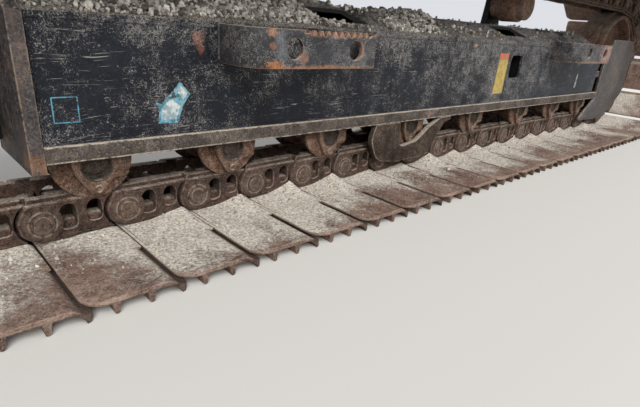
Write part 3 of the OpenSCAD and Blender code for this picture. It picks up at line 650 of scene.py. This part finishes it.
def link_plate():
    """One forged link on the outer side of the chain."""
    scoop = [(pitch + 53 * math.cos(a), 53 * math.sin(a), 0) for a in np.radians(np.linspace(234, 122, 11))]
    body = rounded([
        (-49, 6, 26), (-44, -22, 18), (-29, -36, 12), (-4, -41, 8), (12, -46, 8), (56, -47, 20), (88, -42, 24),
        (116, -46, 16), (150, -46, 6)
    ] + scoop + [(158, 47, 3), (-30, 47, 22)])
    outer = plate(body, [(5, 0, 0), (4, 0.3, 0.1), (1.6, 2.2, 0.3), (0.4, 5, 0.15), (0, 7, 0), (0, 30, 0)],
                  [window(*x) for x in WINDOWS], -BODY_OUT, 0.25, 3.0)
    rail = plate(rounded([(-26, 43, 2), (152, 43, 2), (163, RAIL_TOP, 5), (-22, RAIL_TOP, 8)], 3),
                 [(3, 0, 0), (1, 1, 0.6), (0, 3, 0), (0, 17, 0)], (), -RAIL_OUT - 5)
    inner = plate(rounded([
        (20, -47, 3), (160, -47, 10), (168, -38, 10), (pitch + 20, -34, 20), (pitch + 38, 0, 30), (pitch + 22, 34, 20),
        (pitch - 12, RAIL_TOP, 4), (20, RAIL_TOP, 4)
    ]), [(1.5, 0, 0), (0, 1.5, 0.3), (0, 17, 0), (1.5, 18.5, 0)], [window(*x, 1.0) for x in WINDOWS], -RAIL_OUT + 14.5)
    rings = [(r, -CHAIN_OUT + 2 + y, wear) for r, y, wear in (
        (0, 1.2, 0), (4, 1.0, 0.2), (6, 0.3, 0.2), (16.5, -0.5, 0.15), (18.3, 0.2, 0.8), (19.4, 1.8, 0),
        (20.6, 0.7, 0.3), (25, 0.6, 0.1), (26.2, 1.7, 0), (27.6, 0.9, 0.75), (33, 1.6, 0.1), (38, 2.8, 0.1))]
    boss = turned(rings + [(43, -BODY_OUT + 0.2, 0), (44, -BODY_OUT + 3, 0), (42, -RAIL_OUT + 4, 0),
                           (0, -RAIL_OUT + 4, 0)], 30)
    return joined([leaning(outer), leaning(rail), inner, boss])


def nut():
    """A track nut under packed dirt."""
    outline = rounded([(-19, -19, 7), (19, -19, 7), (19, 18, 7), (-19, 18, 7)], 3)
    p, t, w = plate(outline, [(7, 0, 0), (2.5, 1.8, 0.3), (0, 7, 0), (0, 46, 0), (2, 48, 0)])
    x, y, z = p.T
    return outward(np.stack([x + 0.8 * np.sin(y * 0.4 + z), z, -y + 1.2 * np.sin(x * 0.3 + 1)], 1), t, w)


def on_links(name, part, *stands_for):
    """A part on every link of the chain."""
    piece(name, placed(part, link_frames), "chain_rust_finish", "chain_rust", *stands_for)


on_links("chain_links_outer_rail", link_plate(), "track_links")
on_links("chain_links_inner_rail", mirrored(link_plate()), "track_links")
on_links("shoe_nuts", placed(nut(), [
    shifted((x0 + x1) / 2, y, z) for y, heights in ((14 - RAIL_OUT, (-2, 3)), (RAIL_OUT - 16, (22, 26)))
    for (x0, x1, _), z in zip(WINDOWS, heights)]))
half = [(0, 2), (29, 2), (29, -2), (28, -6)]
bushing = turned([(r, -RAIL_IN - y, 0) for r, y in half] + [(r, RAIL_IN + y, 0) for r, y in half[::-1]], 24)
on_links("chain_bushings", bushing, "track_pins")


# ---- the shoes
def grouser(x):
    """A bar that stands down from a shoe, from x."""
    return [(x + dx, z) for dx, z in (
        (18, -11), (15, -14), (12, -33.5), (9.5, -36), (5.5, -36), (3, -33.5), (0, -14), (-3, -11))]


# Places along the link and below the shoe's top: over the plate, down the end grouser and back below
SHOE_SECTION = np.array([
    (-18.5, -6.5), (-18, -3.6), (-15, -2.4), (4, -0.7), (20, 0), (80, 0), (138, 0), (150, -2), (160, -7), (168, -13),
    (175, -16), (184, -16.5), (188, -19), (188.5, -24), (186, -32), (183, -35.4), (177, -36), (173, -33.5), (170, -27),
    (164, -21), (155, -16), (144, -11.5), *grouser(101), (70, -11), *grouser(31), (0, -11), (-14, -11), (-17.5, -9.5)
]) + [0, SHOE_TOP]
FRONT_R, TAIL_R = 46.0, 14.0


def shoe():
    """A shoe across the track, with rounded corners."""
    half = SHOE_OUT - np.array([0, 0.8, 3, 7, 13, 21, 31, 42, 52, 75, 150, 240, 330])
    xs, zs = SHOE_SECTION.T
    rows = []
    for y in np.concatenate([-half, half[::-1]]):
        front, tail = (math.sqrt(max(0.0, r ** 2 - max(0.0, abs(y) - (SHOE_OUT - r)) ** 2)) for r in (FRONT_R, TAIL_R))
        x = np.clip(xs, xs.min() + FRONT_R - front, xs.max() - TAIL_R + tail)
        eased = np.where(zs > SHOE_TOP - 9, max(0.0, 1.6 - (SHOE_OUT - abs(y))), 0)
        rows.append(np.stack([x, np.full(len(x), y), zs - eased], 1))
    wear = np.zeros((len(rows), len(xs)))
    wear[:, [0, 1, 12, 13]] = 0.6
    wear[[1, -2]] = 0.7
    ends = [cap(rows[k], [SHOE_SECTION], k * len(xs), k == 0) for k in (0, len(rows) - 1)]
    return lofted(rows, wear, caps=ends)


def hex_head(r, h):
    """A bolt's head standing up from z 0."""
    p, t, w = plate(ring(0, 0, r, 6)[::-1], [(2.5, 0, 0), (0.6, 1, 0.5), (0, 3, 0), (0, h, 0)])
    return outward(np.stack([p[:, 0], p[:, 2], h - p[:, 1]], 1), t, w)


shoes = placed(shoe(), link_frames)
# How far each point of the shoe's section lies in the dip under the next shoe's lip, where painted shade goes
dip_shade = np.interp(np.arange(len(SHOE_SECTION)), (7, 8, 9, 13, 21, 22), (0, 0.35, 1, 1, 1, 0.5))
piece("shoe_plates", shoes, "shoe_rust_finish", "shoe_rust", "track_shoes", seam=np.resize(dip_shade, len(shoes[0])))
upside = np.diag([1.0, -1.0, -1.0, 1.0])
on_links("shoe_bolt_heads", placed(hex_head(17, 13), [
    shifted(x, side * (RAIL_OUT - 17), SHOE_TOP - 10.8) @ upside for x in (58, 127.5) for side in (-1, 1)]))

# ---- rollers' ends
roller_centres = sorted([(p.min(0) + p.max(0)) / 2 for p in islands("roller_shells")], key=lambda c: c[0])
COLLAR_OUT, SEAT_LOW = -box_mm("roller_collars")[0][1], box_mm("roller_seats")[0][2]


def collar(z):
    """A roller's end collar and its well, the front at y 0, the roller's centre at x 0 and height z."""
    top = SEAT_LOW - z - 0.3
    outline = rounded([
        (-50, top, 2), (-50, -4, 14), (-43, -30, 14), (-22, -66, 16), (-14, -80, 10), (14, -81, 12), (22, -70, 14),
        (40, -47, 12), (52, -46, 8), (66, -46, 10), (77, -40, 10), (77, top, 2)
    ])
    face = plate(outline, [(6, 0, 0), (4.2, 0.7, 0.4), (0, 4, 0.25), (0, 16.5, 0), (0.5, 17, 0)],
                 [ring(4, -15, 33, 28)])
    well = turned([(0, 9, 0), (28, 9, 0), (31, 7.5, 0), (32.6, 3, 0.1), (33.6, 0.2, 0.3), (35.5, 0, 0.1), (37, 1.5, 0),
                   (37, 15, 0), (0, 15, 0)], 28, 4, -15)
    centre = turned([(0, 7, 0.3), (3, 7.6, 0.6), (4.5, 9.5, 0), (0, 9.5, 0)], 10, 2, -13)
    plug = turned([(0, -0.5, 0.3), (3, -0.5, 0.2), (3.6, 1.5, 0), (5.5, -1.5, 0.5), (8, -2.6, 1), (10, -1, 0.8),
                   (11.5, 2, 0), (0, 2, 0)], 16, 3, -68)
    rib = plate(rounded([(-46, top, 2), (-40, -2, 10), (-37, -30, 6), (-46, -20, 6), (-50, 0, 6), (-50, top, 2)], 2),
                [(1, -1.5, 0.2), (0, -0.5, 0.3), (0, 4, 0)])
    return joined([face, plug, rib]), joined([well, centre])


collars, wells = zip(*([placed(part, [shifted(x, -COLLAR_OUT, z)]) for part in collar(z)]
                       for x, _, z in roller_centres))
piece("roller_end_collars", both(joined(collars)), "roller_rust_finish", "roller_rust", "roller_collars")
piece("roller_end_wells", both(joined(wells)), "greasy_well_finish", "roller_rust")

# ---- side frame
low, high = box_mm("edge_bars")
plate_low = box_mm("side_plate_outer")[0]
FACE = plate_low[1]


def edge_bar():
    """The thick bar along the lower edge, with worn rounded corners."""
    thick, h = FACE - low[1], high[2] - low[2]
    y, z = rounded([(0, 0, 5), (thick, 0, 1), (thick, h, 1), (0, h, 4)]).T
    lower_front = (z < h / 2) & (y < thick / 2)
    xs = np.linspace(low[0], high[0], 120)
    wobble = np.cumsum(rng.normal(0, 0.25, len(xs)))
    wobble -= np.linspace(wobble[0], wobble[-1], len(xs))
    rows = [np.stack([np.full(len(y), x), low[1] + y, low[2] + z + d * lower_front], 1)
            for x, d in zip(xs, np.clip(wobble, -1.2, 1.2))]
    wear = np.zeros(len(y))
    wear[1:4], wear[-4:-1] = 0.9, 0.7
    return lofted(rows, wear)


piece("lower_edge_bars", both(edge_bar()), "edge_bar_finish", "worn_bar", "edge_bars")

low, high = box_mm("end_plate")
RIDGE_HALF = 30
roof_low, roof_high = box_mm("roof")


def end_plate():
    """The thick plate that closes the sprocket end, its outline in Y and Z."""
    out, corner_z = high[1], roof_low[2] + 12
    outline = rounded([(-out, low[2], 6), (out, low[2], 6), (out, corner_z, 4), (RIDGE_HALF, high[2], 4),
                       (-RIDGE_HALF, high[2], 4), (-out, corner_z, 4)])
    p, t, w = plate(outline, edge(high[0] - low[0], 4, 0.9))
    return outward(np.stack([low[0] + p[:, 1], p[:, 0], p[:, 2]], 1), t, w)


piece("box_end_plate", end_plate(), "end_plate_finish", "worn_bar", "end_plate")

# ---- steps
STEP_T, STEP_H, BEND_R = 12, 92, 70
# Start, length, lower edge and reach of each step, from its node, and the places of its holes
steps = sorted((p[:, 0].min(), np.ptp(p[:, 0]), p[:, 2].min(), -p[:, 1].min()) for p in islands("steps"))
STEP_HOLES = ((126, 339), (129, 348))


def bent_strip(line, low_z, h, t):
    """A flat bar t thick and h high that follows a line in plan, its outer face on the line."""
    line = np.asarray(line, float)
    ahead = unit(np.gradient(line, axis=0))
    r, q = 1.6, 0.45
    deep, up, wear = np.array([
        (r, 0, 0), (q, q, 0.9), (0, r, 0), (0, h - r, 0), (q, h - q, 0.9), (r, h, 0),
        (t - r, h, 0), (t - q, h - q, 0.9), (t, h - r, 0), (t, r, 0), (t - q, q, 0.9), (t - r, 0, 0)]).T
    rows = [np.stack([x - v * deep, y + u * deep, low_z + up], 1) for (x, y), (u, v) in zip(line, ahead)]
    return lofted(rows, wear)


def step_solid(step, holes):
    """A step: the bend from the side plate, the toothed bar with its holes, and the straight return."""
    x0, length, z0, reach = step
    top, notch = STEP_H - 2, STEP_H - 15
    lead = [(0, FACE - d) for d in (0, 20, 40) if FACE - d > -reach + BEND_R + 1]
    bend = [(BEND_R - BEND_R * math.cos(t), -reach + BEND_R - BEND_R * math.sin(t))
            for t in np.linspace(0, math.pi / 2, 15)]
    end = [(BEND_R + 4, -reach + 0.7), (BEND_R + 8, -reach + 1.4), (BEND_R + 12, -reach + 2)]
    first, last, count = length * 0.42, length * 0.93, 9
    w = (last - first) / count
    teeth = [(first + (last - first) * k / count + share * w, z) for k in range(count)
             for share, z in ((0.05, notch), (0.3, top), (0.6, top), (0.9, notch))]
    outline = [(BEND_R - 3, 0), (length - 3, 0), (length, 3), (length, STEP_H - 5), (length - 3, top), *teeth[::-1],
               (first - 6, top), (first - 8, STEP_H - 9), (first - 17, STEP_H - 10), (first - 20, top),
               (BEND_R - 3, top)]
    front = plate(outline, edge(STEP_T, 1.6, 0.9), [ring(h, STEP_H / 2, 25, 28) for h in holes], -reach)
    back = [(x0 + length - 0.4, y) for y in (-reach + 1.8, -reach + 30, -reach + 60, -reach + 100, FACE)]
    return joined([bent_strip([(x0 + a, b - 0.12) for a, b in lead + bend + end], z0, top, STEP_T + 0.12),
                   placed(front, [shifted(x0, 0, z0)]), bent_strip(back, z0, top, STEP_T)])


piece("boarding_steps", joined([step_solid(*pair) for pair in zip(steps, STEP_HOLES)]), "step_finish", "step_paint",
      "steps")


# ---- guards
def guard(name, node, middle_x, corners, thick, round_r, wear, finish_name, slot):
    """A guard plate on each side, its corners in X from the middle, Z and radius."""
    outline = rounded([(middle_x + x, z, r) for x, z, r in corners], 6)
    piece(name, both(plate(outline, edge(thick, round_r, wear), (), box_mm(node)[0][1])), finish_name, slot, node)


idler_low, idler_high = box_mm("idler_wheel")
guard("idler_end_guards", "end_guards", (idler_low[0] + idler_high[0]) / 2, [
    (-481, 99, 14), (-59, 90, 60), (199, 238, 60), (183, 545, 40), (82, 571, 30), (-205, 569, 20), (-291, 480, 12),
    (-291, 220, 12)], 14, 3, 0.8, "guard_paint_finish", "guard_paint")
frame_low = plate_low[2]
guard("middle_roller_guards", "centre_guards", roller_centres[3][0], [
    (-233, frame_low, 2), (-256, 173, 60), (-214, 92, 70), (-89, 76, 120), (36, 80, 120), (101, 98, 80), (186, 205, 50),
    (231, 214, 6), (231, frame_low, 2), (161, frame_low, 4), (84, 193, 60), (13, 146, 60), (-94, 132, 30),
    (-101, frame_low, 4)], 22, 4, 0.9, "guard_rust_finish", "roller_rust")


# ---- blank labels
def label(name, finish_name, *outlines, lift=0.5):
    """Thin films on the outer side plate, from their corners in X and Z, counter-clockwise."""
    films = [plate(outline, [(0, 0, 0), (0, lift + 0.1, 0)], (), FACE - lift) for outline in outlines]
    piece(name, joined(films), finish_name, "frame_paint")


label("yellow_label", "yellow_film", [(354, 301), (440, 301), (437, 446), (357, 446)])
label("label_top_band", "orange_film", [(357, 446.5), (437, 446.5), (436, 472), (357, 472)])
label("tilted_label", "blue_film", [(-1157, 387), (-1174, 367), (-1192, 350), (-1205, 337), (-1219, 342), (-1211, 323),
                                    (-1216, 292), (-1166, 291), (-1150, 332), (-1130, 358)])
label("tilted_label_white", "white_film", [(-1158, 381), (-1168, 369), (-1150, 345), (-1137, 358)],
      [(-1192, 342), (-1206, 326), (-1208, 300), (-1170, 300), (-1158, 330), (-1178, 347)], lift=0.9)
sign_out, sign_in = (rounded([(x, z, r) for x, z in ((-1440 + d, 309 + d), (-1388 - d, 309 + d), (-1388 - d, 363 - d),
                                                     (-1440 + d, 363 - d))], 3) for d, r in ((0, 3), (2.5, 2)))
piece("blank_sign_frame", plate(sign_out, [(0, 0, 0), (0, 0.6, 0)], [sign_in[::-1]], FACE - 0.5), "blue_line_film",
      "frame_paint")
label("small_white_label", "small_film", [(1283, 302), (1304, 298), (1307, 350), (1298, 380), (1288, 372)])


# ---- weld beads
def bead(start, end, r):
    """A rippled weld bead between two places, a round bar of six sides."""
    a, b = np.array(start, float), np.array(end, float)
    count = max(4, int(np.linalg.norm(b - a) / 6))
    path = a + (b - a) * np.linspace(0, 1, count)[:, None]
    size = r * (1 + 0.13 * np.sin(np.arange(count) * 2.1) + rng.normal(0, 0.05, count))
    size[[0, -1]] = r * 0.4
    ahead = unit(np.gradient(path, axis=0))
    side = unit(np.cross(ahead, np.where(np.abs(ahead[:, 2:3]) > 0.9, [1.0, 0, 0], [0, 0, 1.0])))
    up = np.cross(side, ahead)
    turn = turns(6)[:, None]
    rows = path[:, None] + size[:, None, None] * (np.cos(turn) * side[:, None] + np.sin(turn) * up[:, None])
    return lofted(rows, [0.0], path[[0, -1]])


bar_top = box_mm("edge_bars")[1][2]
piece("frame_weld_beads", both(joined([
    bead((-1466, FACE - 1, bar_top + 1), (1595, FACE - 1, bar_top + 1), 4),
    bead((-1465, FACE - 0.5, 268), (-1465, FACE - 0.5, 520), 5),
    bead((-1460, FACE + 0.5, 511), (1432, FACE + 0.5, 511), 3.6)])), "bead_finish", "frame_paint")
piece("step_weld_beads", joined([
    bead((x, FACE - 1, z0 + 3), (x, FACE - 1, z0 + STEP_H - 5), 4.5) for x0, length, z0, reach in steps
    for x in (x0 - 1, x0 + STEP_T + 1, x0 + length + 0.6, x0 + length - STEP_T - 1)]), "step_finish", "step_paint")


# ---- grit and mud
def icosahedron():
    """Its 12 points and 20 triangles."""
    golden = (1 + math.sqrt(5)) / 2
    v = unit(np.array([np.roll((0, a, b * golden), -k) for k in range(3) for a in (-1, 1) for b in (-1, 1)]))
    apart = lambda i, j: np.linalg.norm(v[i] - v[j])
    tri = [(i, j, k) for i in range(12) for j in range(i + 1, 12) for k in range(j + 1, 12)
           if max(apart(i, j), apart(j, k), apart(i, k)) < 1.1]
    return v, np.array([t if np.linalg.det(v[list(t)]) > 0 else t[::-1] for t in tri])


STONE_V, STONE_T = icosahedron()


def stones(centres, sizes):
    """Broken stones: jittered, flattened and turned, each with a tone of its own."""
    n = len(centres)
    spin = np.linalg.qr(rng.normal(size=(n, 3, 3)))[0]
    spin[np.linalg.det(spin) < 0] *= -1
    shape = STONE_V[None] * (1 + rng.normal(0, 0.17, (n, 12, 1))) * rng.uniform(0.5, 1.15, (n, 1, 3))
    points = np.einsum("nij,nkj->nki", spin, shape) * (sizes[:, None, None] / 2) + centres[:, None]
    tris = STONE_T[None] + (np.arange(n) * 12)[:, None, None]
    tone = np.repeat(np.clip(rng.normal(0.4, 0.33, n), 0, 1), 12)
    return points.reshape(-1, 3), tris.reshape(-1, 3), tone


def highest(h):
    """The highest corner of each cell of a grid."""
    return np.maximum(np.maximum(h[:-1, :-1], h[1:, 1:]), np.maximum(h[1:, :-1], h[:-1, 1:]))


def at_cells(h, xs, ys, x, y):
    """A grid's value at the cell that each place lies in."""
    i, j = (np.clip(np.searchsorted(line, at) - 1, 0, len(line) - 1) for line, at in ((xs, x), (ys, y)))
    return h[i, j]


def sheet(top, low, inside):
    """A closed drift between a top and a low grid of points, on the cells marked inside, with its depth as its mark."""
    count = top[..., 0].size
    index = np.arange(count).reshape(top.shape[:2])
    quads = np.stack([index[:-1, :-1], index[1:, :-1], index[1:, 1:], index[:-1, 1:]], -1)[inside]
    sides = np.concatenate([quads[:, [i, (i + 1) % 4]] for i in range(4)]).tolist()
    seen = set(map(tuple, sides))
    a, b = np.array([e for e in sides if (e[1], e[0]) not in seen]).T
    tris = np.concatenate([
        quads[:, [0, 1, 2]], quads[:, [0, 2, 3]], quads[:, [2, 1, 0]] + count, quads[:, [3, 2, 0]] + count,
        np.stack([b, a, a + count], 1), np.stack([b, a + count, b + count], 1)])
    points = np.concatenate([top.reshape(-1, 3), low.reshape(-1, 3)])
    deep = np.concatenate([(top - low)[..., 2].ravel(), np.zeros(count)])
    used, tris = np.unique(tris, return_inverse=True)
    return outward(points[used], tris.reshape(-1, 3), deep[used])


def smooth_noise(shape, steps):
    """Random heights from -1 to 1 that change over the given number of cells."""
    total = np.zeros(shape)
    for cells, share in steps:
        grid = rng.normal(0, 0.5, [int(n / cells) + 3 for n in shape])
        u, v = (np.arange(n) / cells for n in shape)
        i, j = u.astype(int), v.astype(int)
        fu, fv = (t * t * (3 - 2 * t) for t in ((u - i)[:, None], v - j))
        g = lambda p, q: grid[np.ix_(i + p, j + q)]
        total += share * ((1 - fu) * ((1 - fv) * g(0, 0) + fv * g(0, 1)) + fu * ((1 - fv) * g(1, 0) + fv * g(1, 1)))
    return total / sum(share for _, share in steps)


# The roof's lower edge, and its slope from there up to the ridge
ROOF_EDGE_Z = 522.0
slope = (roof_high[2] - ROOF_EDGE_Z) / (roof_high[1] - RIDGE_HALF)
LOZENGE_STARTS, LOZENGE_L, LOZENGE_SHIFT, LOZENGE_Y = (-758.7, 348.7), 205, 75, (38, 90)


def clear_of_lozenges(x, y, margin=6):
    near, far = LOZENGE_Y
    lean = LOZENGE_SHIFT * (-y - near) / (far - near)
    return ~np.any([(x > x0 + lean - margin) & (x < x0 + LOZENGE_L + lean + margin) & (-y > near - margin)
                    & (-y < far + margin) for x0 in LOZENGE_STARTS], 0)


def roof_cover(x):
    """How thick the grit lies along the roof, from 0 to 1."""
    heap = np.exp(-((x + 900) / 330) ** 4)
    second = 0.8 * np.exp(-((x + 230) / 170) ** 4)
    thin = np.where(x > 120, 0.03, 0.14 + 0.12 * np.sin(x / 150.0))
    return np.maximum(np.maximum(heap, second), np.where(x < -1180, 0.36, thin))


def roof_z(y):
    return np.minimum(ROOF_EDGE_Z + slope * (roof_high[1] - np.abs(y)), roof_high[2])


gx = np.linspace(roof_low[0] + 2, roof_high[0] - 4, 250)
gy = np.linspace(roof_low[1] + 1, 40, 20)
X, Y = np.meshgrid(gx, gy, indexing="ij")
cover = roof_cover(X) + 0.32 * np.exp(-((Y - gy[0] - 30) / 24) ** 2) * (X > -60) * (X < 620)
H = 13 * cover + 9 * smooth_noise(X.shape, ((14, 1.0), (6, 0.6), (2.5, 0.45))) * (0.3 + cover) - 4.5
H = np.minimum(H, 3 + 0.5 * (Y - gy[0]) + 4 * cover)
lying = clear_of_lozenges(*((g[:-1, :-1] + g[1:, 1:]) / 2 for g in (X, Y))) & (highest(H) > -0.9)
piece("roof_drifts", sheet(np.stack([X, Y, roof_z(Y) + np.maximum(H, -1.0)], -1), np.stack([X, Y, roof_z(Y) - 3.0], -1),
                           lying), "drift_finish", "frame_paint", sharp=80)

# Stones, most of them towards the sprocket and in the thick places
tries, MOST_STONES = 30000, 9800
sx = rng.uniform(gx[0] + 3, gx[-1] - 3, tries)
sx = np.where(rng.random(tries) < 0.7, rng.uniform(gx[0] + 3, -100, tries), sx)
sy = rng.uniform(roof_low[1] + 3, 34, tries)
thick = at_cells(H, gx, gy, sx, sy)
keep = (rng.random(tries) < np.clip(0.1 + 0.07 * (thick + 1), 0.035, 0.7)) & clear_of_lozenges(sx, sy, 9)
sx, sy, thick = sx[keep], sy[keep], thick[keep]
size = np.clip(rng.lognormal(math.log(7.6), 0.42, len(sx)), 3.5, 21)
lumps = np.stack([sx, sy, roof_z(sy) + np.maximum(thick, 0) + 0.34 * size], 1)
for name, share in (("roof_stones_sprocket_end", sx < -880), ("roof_stones_idler_end", sx >= -880)):
    piece(name, stones(lumps[share][:MOST_STONES], size[share][:MOST_STONES]), "grit_finish", "frame_paint", sharp=20)

# Mounds on the shoes that lie on the ground: places along a shoe and outwards from the chain, and the crest's height
MOUND_X = np.linspace(-12, 166, 24)
MOUND_D = np.array([0, 5, 10, 16, 23, 31, 40, 50, 62, 76, 92, 110, 132])
MX, MD = np.meshgrid(MOUND_X, MOUND_D, indexing="ij")
CREST = np.interp(MX, (-12, 10, 30, 56, 90, 120, 147, 156, 166), (2, 4, 7, 10, 16, 24, 30, 24, 3))
mounds, crumbs, sizes = [], [], []
for m, side in ((m, side) for m in link_frames if m[0, 0] > 0.9999 and m[2, 3] < 90 for side in (-1, 1)):
    crest = CREST * rng.uniform(0.45, 1.1)
    h = crest * np.clip(1 - (MD / rng.uniform(70, 125)), 0, 1) ** 1.15
    h = h + 3.2 * smooth_noise(MX.shape, ((6, 1.0), (3, 0.8), (1.5, 0.5))) * np.clip(h / 6, 0, 1) - 0.4
    h = h * (1.25 if side > 0 else np.interp(m[0, 3], (-1500, -1300), (0.35, 1.0)))
    top, bottom = (np.stack([MX, side * (RAIL_OUT + 6 + MD), SHOE_TOP + z], -1)
                   for z in (np.maximum(h, -0.8), 0 * h - 5))
    mounds.append(placed(sheet(top, bottom, highest(h) > -0.7), [m]))
    count = 150 if side < 0 else 70
    x, d = rng.uniform(-8, 150, count), rng.gamma(1.6, 45, count)
    ok = d < SHOE_OUT - RAIL_OUT - 22
    x, d = x[ok], d[ok]
    s = np.clip(rng.lognormal(math.log(3.6), 0.42, len(x)), 2, 11)
    z = SHOE_TOP + np.where(d < MOUND_D[-1], np.maximum(at_cells(h, MOUND_X, MOUND_D, x, d), 0), 0) + 0.2 * s
    crumbs.append((np.stack([x, side * (RAIL_OUT + 8 + d), z, np.ones(len(x))], 1) @ m.T)[:, :3])
    sizes.append(s)
points, tris, deep = joined(mounds)
piece("shoe_mounds", (points, tris, 0 * deep), "shoe_rust_finish", "shoe_rust", sharp=80,
      heap=np.clip((deep - 6) / 8, 0, 1))
piece("shoe_stones", stones(np.concatenate(crumbs), np.concatenate(sizes)), "shoe_grit_finish", "shoe_rust", sharp=20)

# ---- final drive, motor and spring
hub_low, hub_high = box_mm("drive_hub")
hub_x, _, hub_z = (hub_low + hub_high) / 2
COVER_FACE, FLANGE_FACE, MOTOR_END = hub_low[1], -(32 + 24), box_mm("drive_motor")[1][1]


def bolt_circle(count, circle, head_r, head_h, y, way=-1, first=0.0):
    """Hexagon heads round the drive's axis, on a face at y that looks out (-1) or in (1) along Y."""
    facing = np.array([[1.0, 0, 0, 0], [0, 0, way, 0], [0, -way, 0, 0], [0, 0, 0, 1]])
    return placed(hex_head(head_r, head_h), [
        shifted(hub_x + circle * math.cos(a), y, hub_z + circle * math.sin(a)) @ facing for a in first + turns(count)])


piece("hub_bolts", joined([bolt_circle(16, 176, 15, 13, FLANGE_FACE), bolt_circle(8, 98, 10, 8, COVER_FACE, -1, 0.2)]),
      "chain_rust_finish", "frame_paint")
plug = turned([(0, -9, 0.3), (6, -9, 0.3), (8, -7, 0.6), (12, -6, 0.4), (15, -4, 0.8), (16, 1, 0), (0, 1, 0)], 20)
rim = turned([(60, 1, 0), (60, -3, 0.4), (62, -4.5, 0.6), (74, -4.5, 0.6), (76, -3, 0.4), (76, 1, 0)], 48,
             closed=True)
piece("hub_cover_plugs", joined([placed(plug, [shifted(hub_x + x, COVER_FACE, hub_z - 14) for x in (52, -52)]),
                                 placed(rim, [shifted(hub_x, COVER_FACE, hub_z)])]), "blue_black_paint", "frame_paint")
port = turned([(0, 34, 0.3), (15, 34, 0.3), (17, 31, 0.8), (17, 16, 0), (23, 15, 0.6), (24, 4, 0.3), (30, 2, 0.3),
               (31, -1, 0), (0, -1, 0)], 24)
piece("motor_ports", placed(port, [shifted(hub_x + x, MOTOR_END, hub_z + 34) for x in (-38, 38)]), "worn_steel_finish",
      "frame_paint")
piece("motor_bolts", bolt_circle(8, 82, 9, 8, MOTOR_END, 1, 0.39), "chain_rust_finish", "frame_paint")


def coil(radial, axial, count):
    """The recoil spring, inside its node's box: an oval wire wound count times about an axis along X."""
    low, high = box_mm("recoil_spring")
    t = np.linspace(0, count * 2 * math.pi, count * 26)[:, None]
    out = np.cos(t) * [0, 1, 0] + np.sin(t) * [0, 0, 1]
    middle = out * ((high[2] - low[2]) / 2 - radial - 0.2) + [0, 0, (low[2] + high[2]) / 2]
    middle[:, 0] = np.linspace(low[0] + axial, high[0] - axial, len(t))
    a = turns(12)[:, None]
    rows = middle[:, None] + np.cos(a) * radial * out[:, None] + np.sin(a) * np.array([axial, 0, 0])
    return lofted(rows, [0.6] + [0.0] * 11, middle[[0, -1]])


piece("recoil_coil", coil(9.7, 15.5, 12), "dark_spring_finish", "spring_steel", "recoil_spring")

# ---- CAD nodes that stay
WELD_GAP, SOFT_EDGE = 0.00002, 0.002
KEPT = {
    "blue_black_paint": "side_plate_outer side_plate_inner roof drive_bracket leg_pads carrier_brackets drive_hub"
                        " drive_motor spring_seat",
    "edge_bar_finish": "frame_floor roller_seats guide_rails yoke",
    "roller_rust_finish": "roller_shells carrier_rollers idler_wheel",
    "greasy_well_finish": "roller_shafts",
    "chain_rust_finish": "sprocket",
    "dark_spring_finish": "adjuster_cylinder",
    "worn_steel_finish": "adjuster_rod idler_shaft",
    "guard_paint_finish": "bearing_blocks",
}
for finish_name, kept in KEPT.items():
    for name in kept.split():
        obj = nodes[name]
        obj.data.materials.clear()
        obj.data.materials.append(FINISH[finish_name])
        obj.modifiers.new("weld", "WELD").merge_threshold = WELD_GAP
        soft = obj.modifiers.new("soft edges", "BEVEL")
        soft.width, soft.segments = SOFT_EDGE, 2
        soft.limit_method, soft.angle_limit = "ANGLE", math.radians(32)
        soft.harden_normals = False

# ---- stage
S, FLOOR_Z = 30, -0.0006
floor_mesh = bpy.data.meshes.new("floor")
floor_mesh.from_pydata([(x, y, FLOOR_Z) for x, y in ((-S, -S), (S, -S), (S, S), (-S, S))], [], [(0, 1, 2, 3)])
Surface("floor_finish").dress((0.66, 0.64, 0.6), 0.9)
floor_mesh.materials.append(FINISH["floor_finish"])
floor = added("floor", floor_mesh)

# The camera sees a paler sky than the one that lights the piece
world = bpy.data.worlds.new("studio")
bpy.context.scene.world = world
world.use_nodes = True
sky, background = Wires(world.node_tree), world.node_tree.nodes["Background"].inputs
sky.feed(background[0], (0.93, 0.95, 1.0))
sky.feed(background[1], sky.spread(sky.node("LightPath", "Is Camera Ray"), 0.0, 1.0, 0.42, 0.78))


def lamp(name, at, strength, spread_angle):
    """A broad soft light from one side, even over the whole length."""
    light = bpy.data.lights.new(name, "SUN")
    light.energy, light.angle = strength, spread_angle
    at = Vector(at)
    added(name, light).matrix_world = Matrix.Translation(at) @ (-at).to_track_quat("-Z", "Y").to_matrix().to_4x4()


lamp("key", (-3.4, -5.4, 5.2), 3.3, 0.65)
lamp("fill", (4.5, -5.0, 2.8), 0.75, 0.8)
lamp("back", (-1.0, 6.0, 4.0), 0.9, 0.8)

# ---- camera
camera = bpy.data.cameras.new("camera")
eye = added("camera", camera)
right, up = Vector((0.734558, -0.674588, 0.073181)), Vector((0.222924, 0.341781, 0.912957))
turn = Matrix((right, up, right.cross(up))).transposed().to_4x4()
eye.matrix_world = Matrix.Translation((-1.71225, -1.20395, 0.54214)) @ turn
camera.sensor_width, camera.lens = 36, 26.7085
camera.shift_x, camera.shift_y = 0.0005, 0.0412
camera.clip_start = 0.02
bpy.context.scene.camera = eye
bpy.context.scene.view_settings.view_transform = "Standard"

bpy.context.view_layer.update()
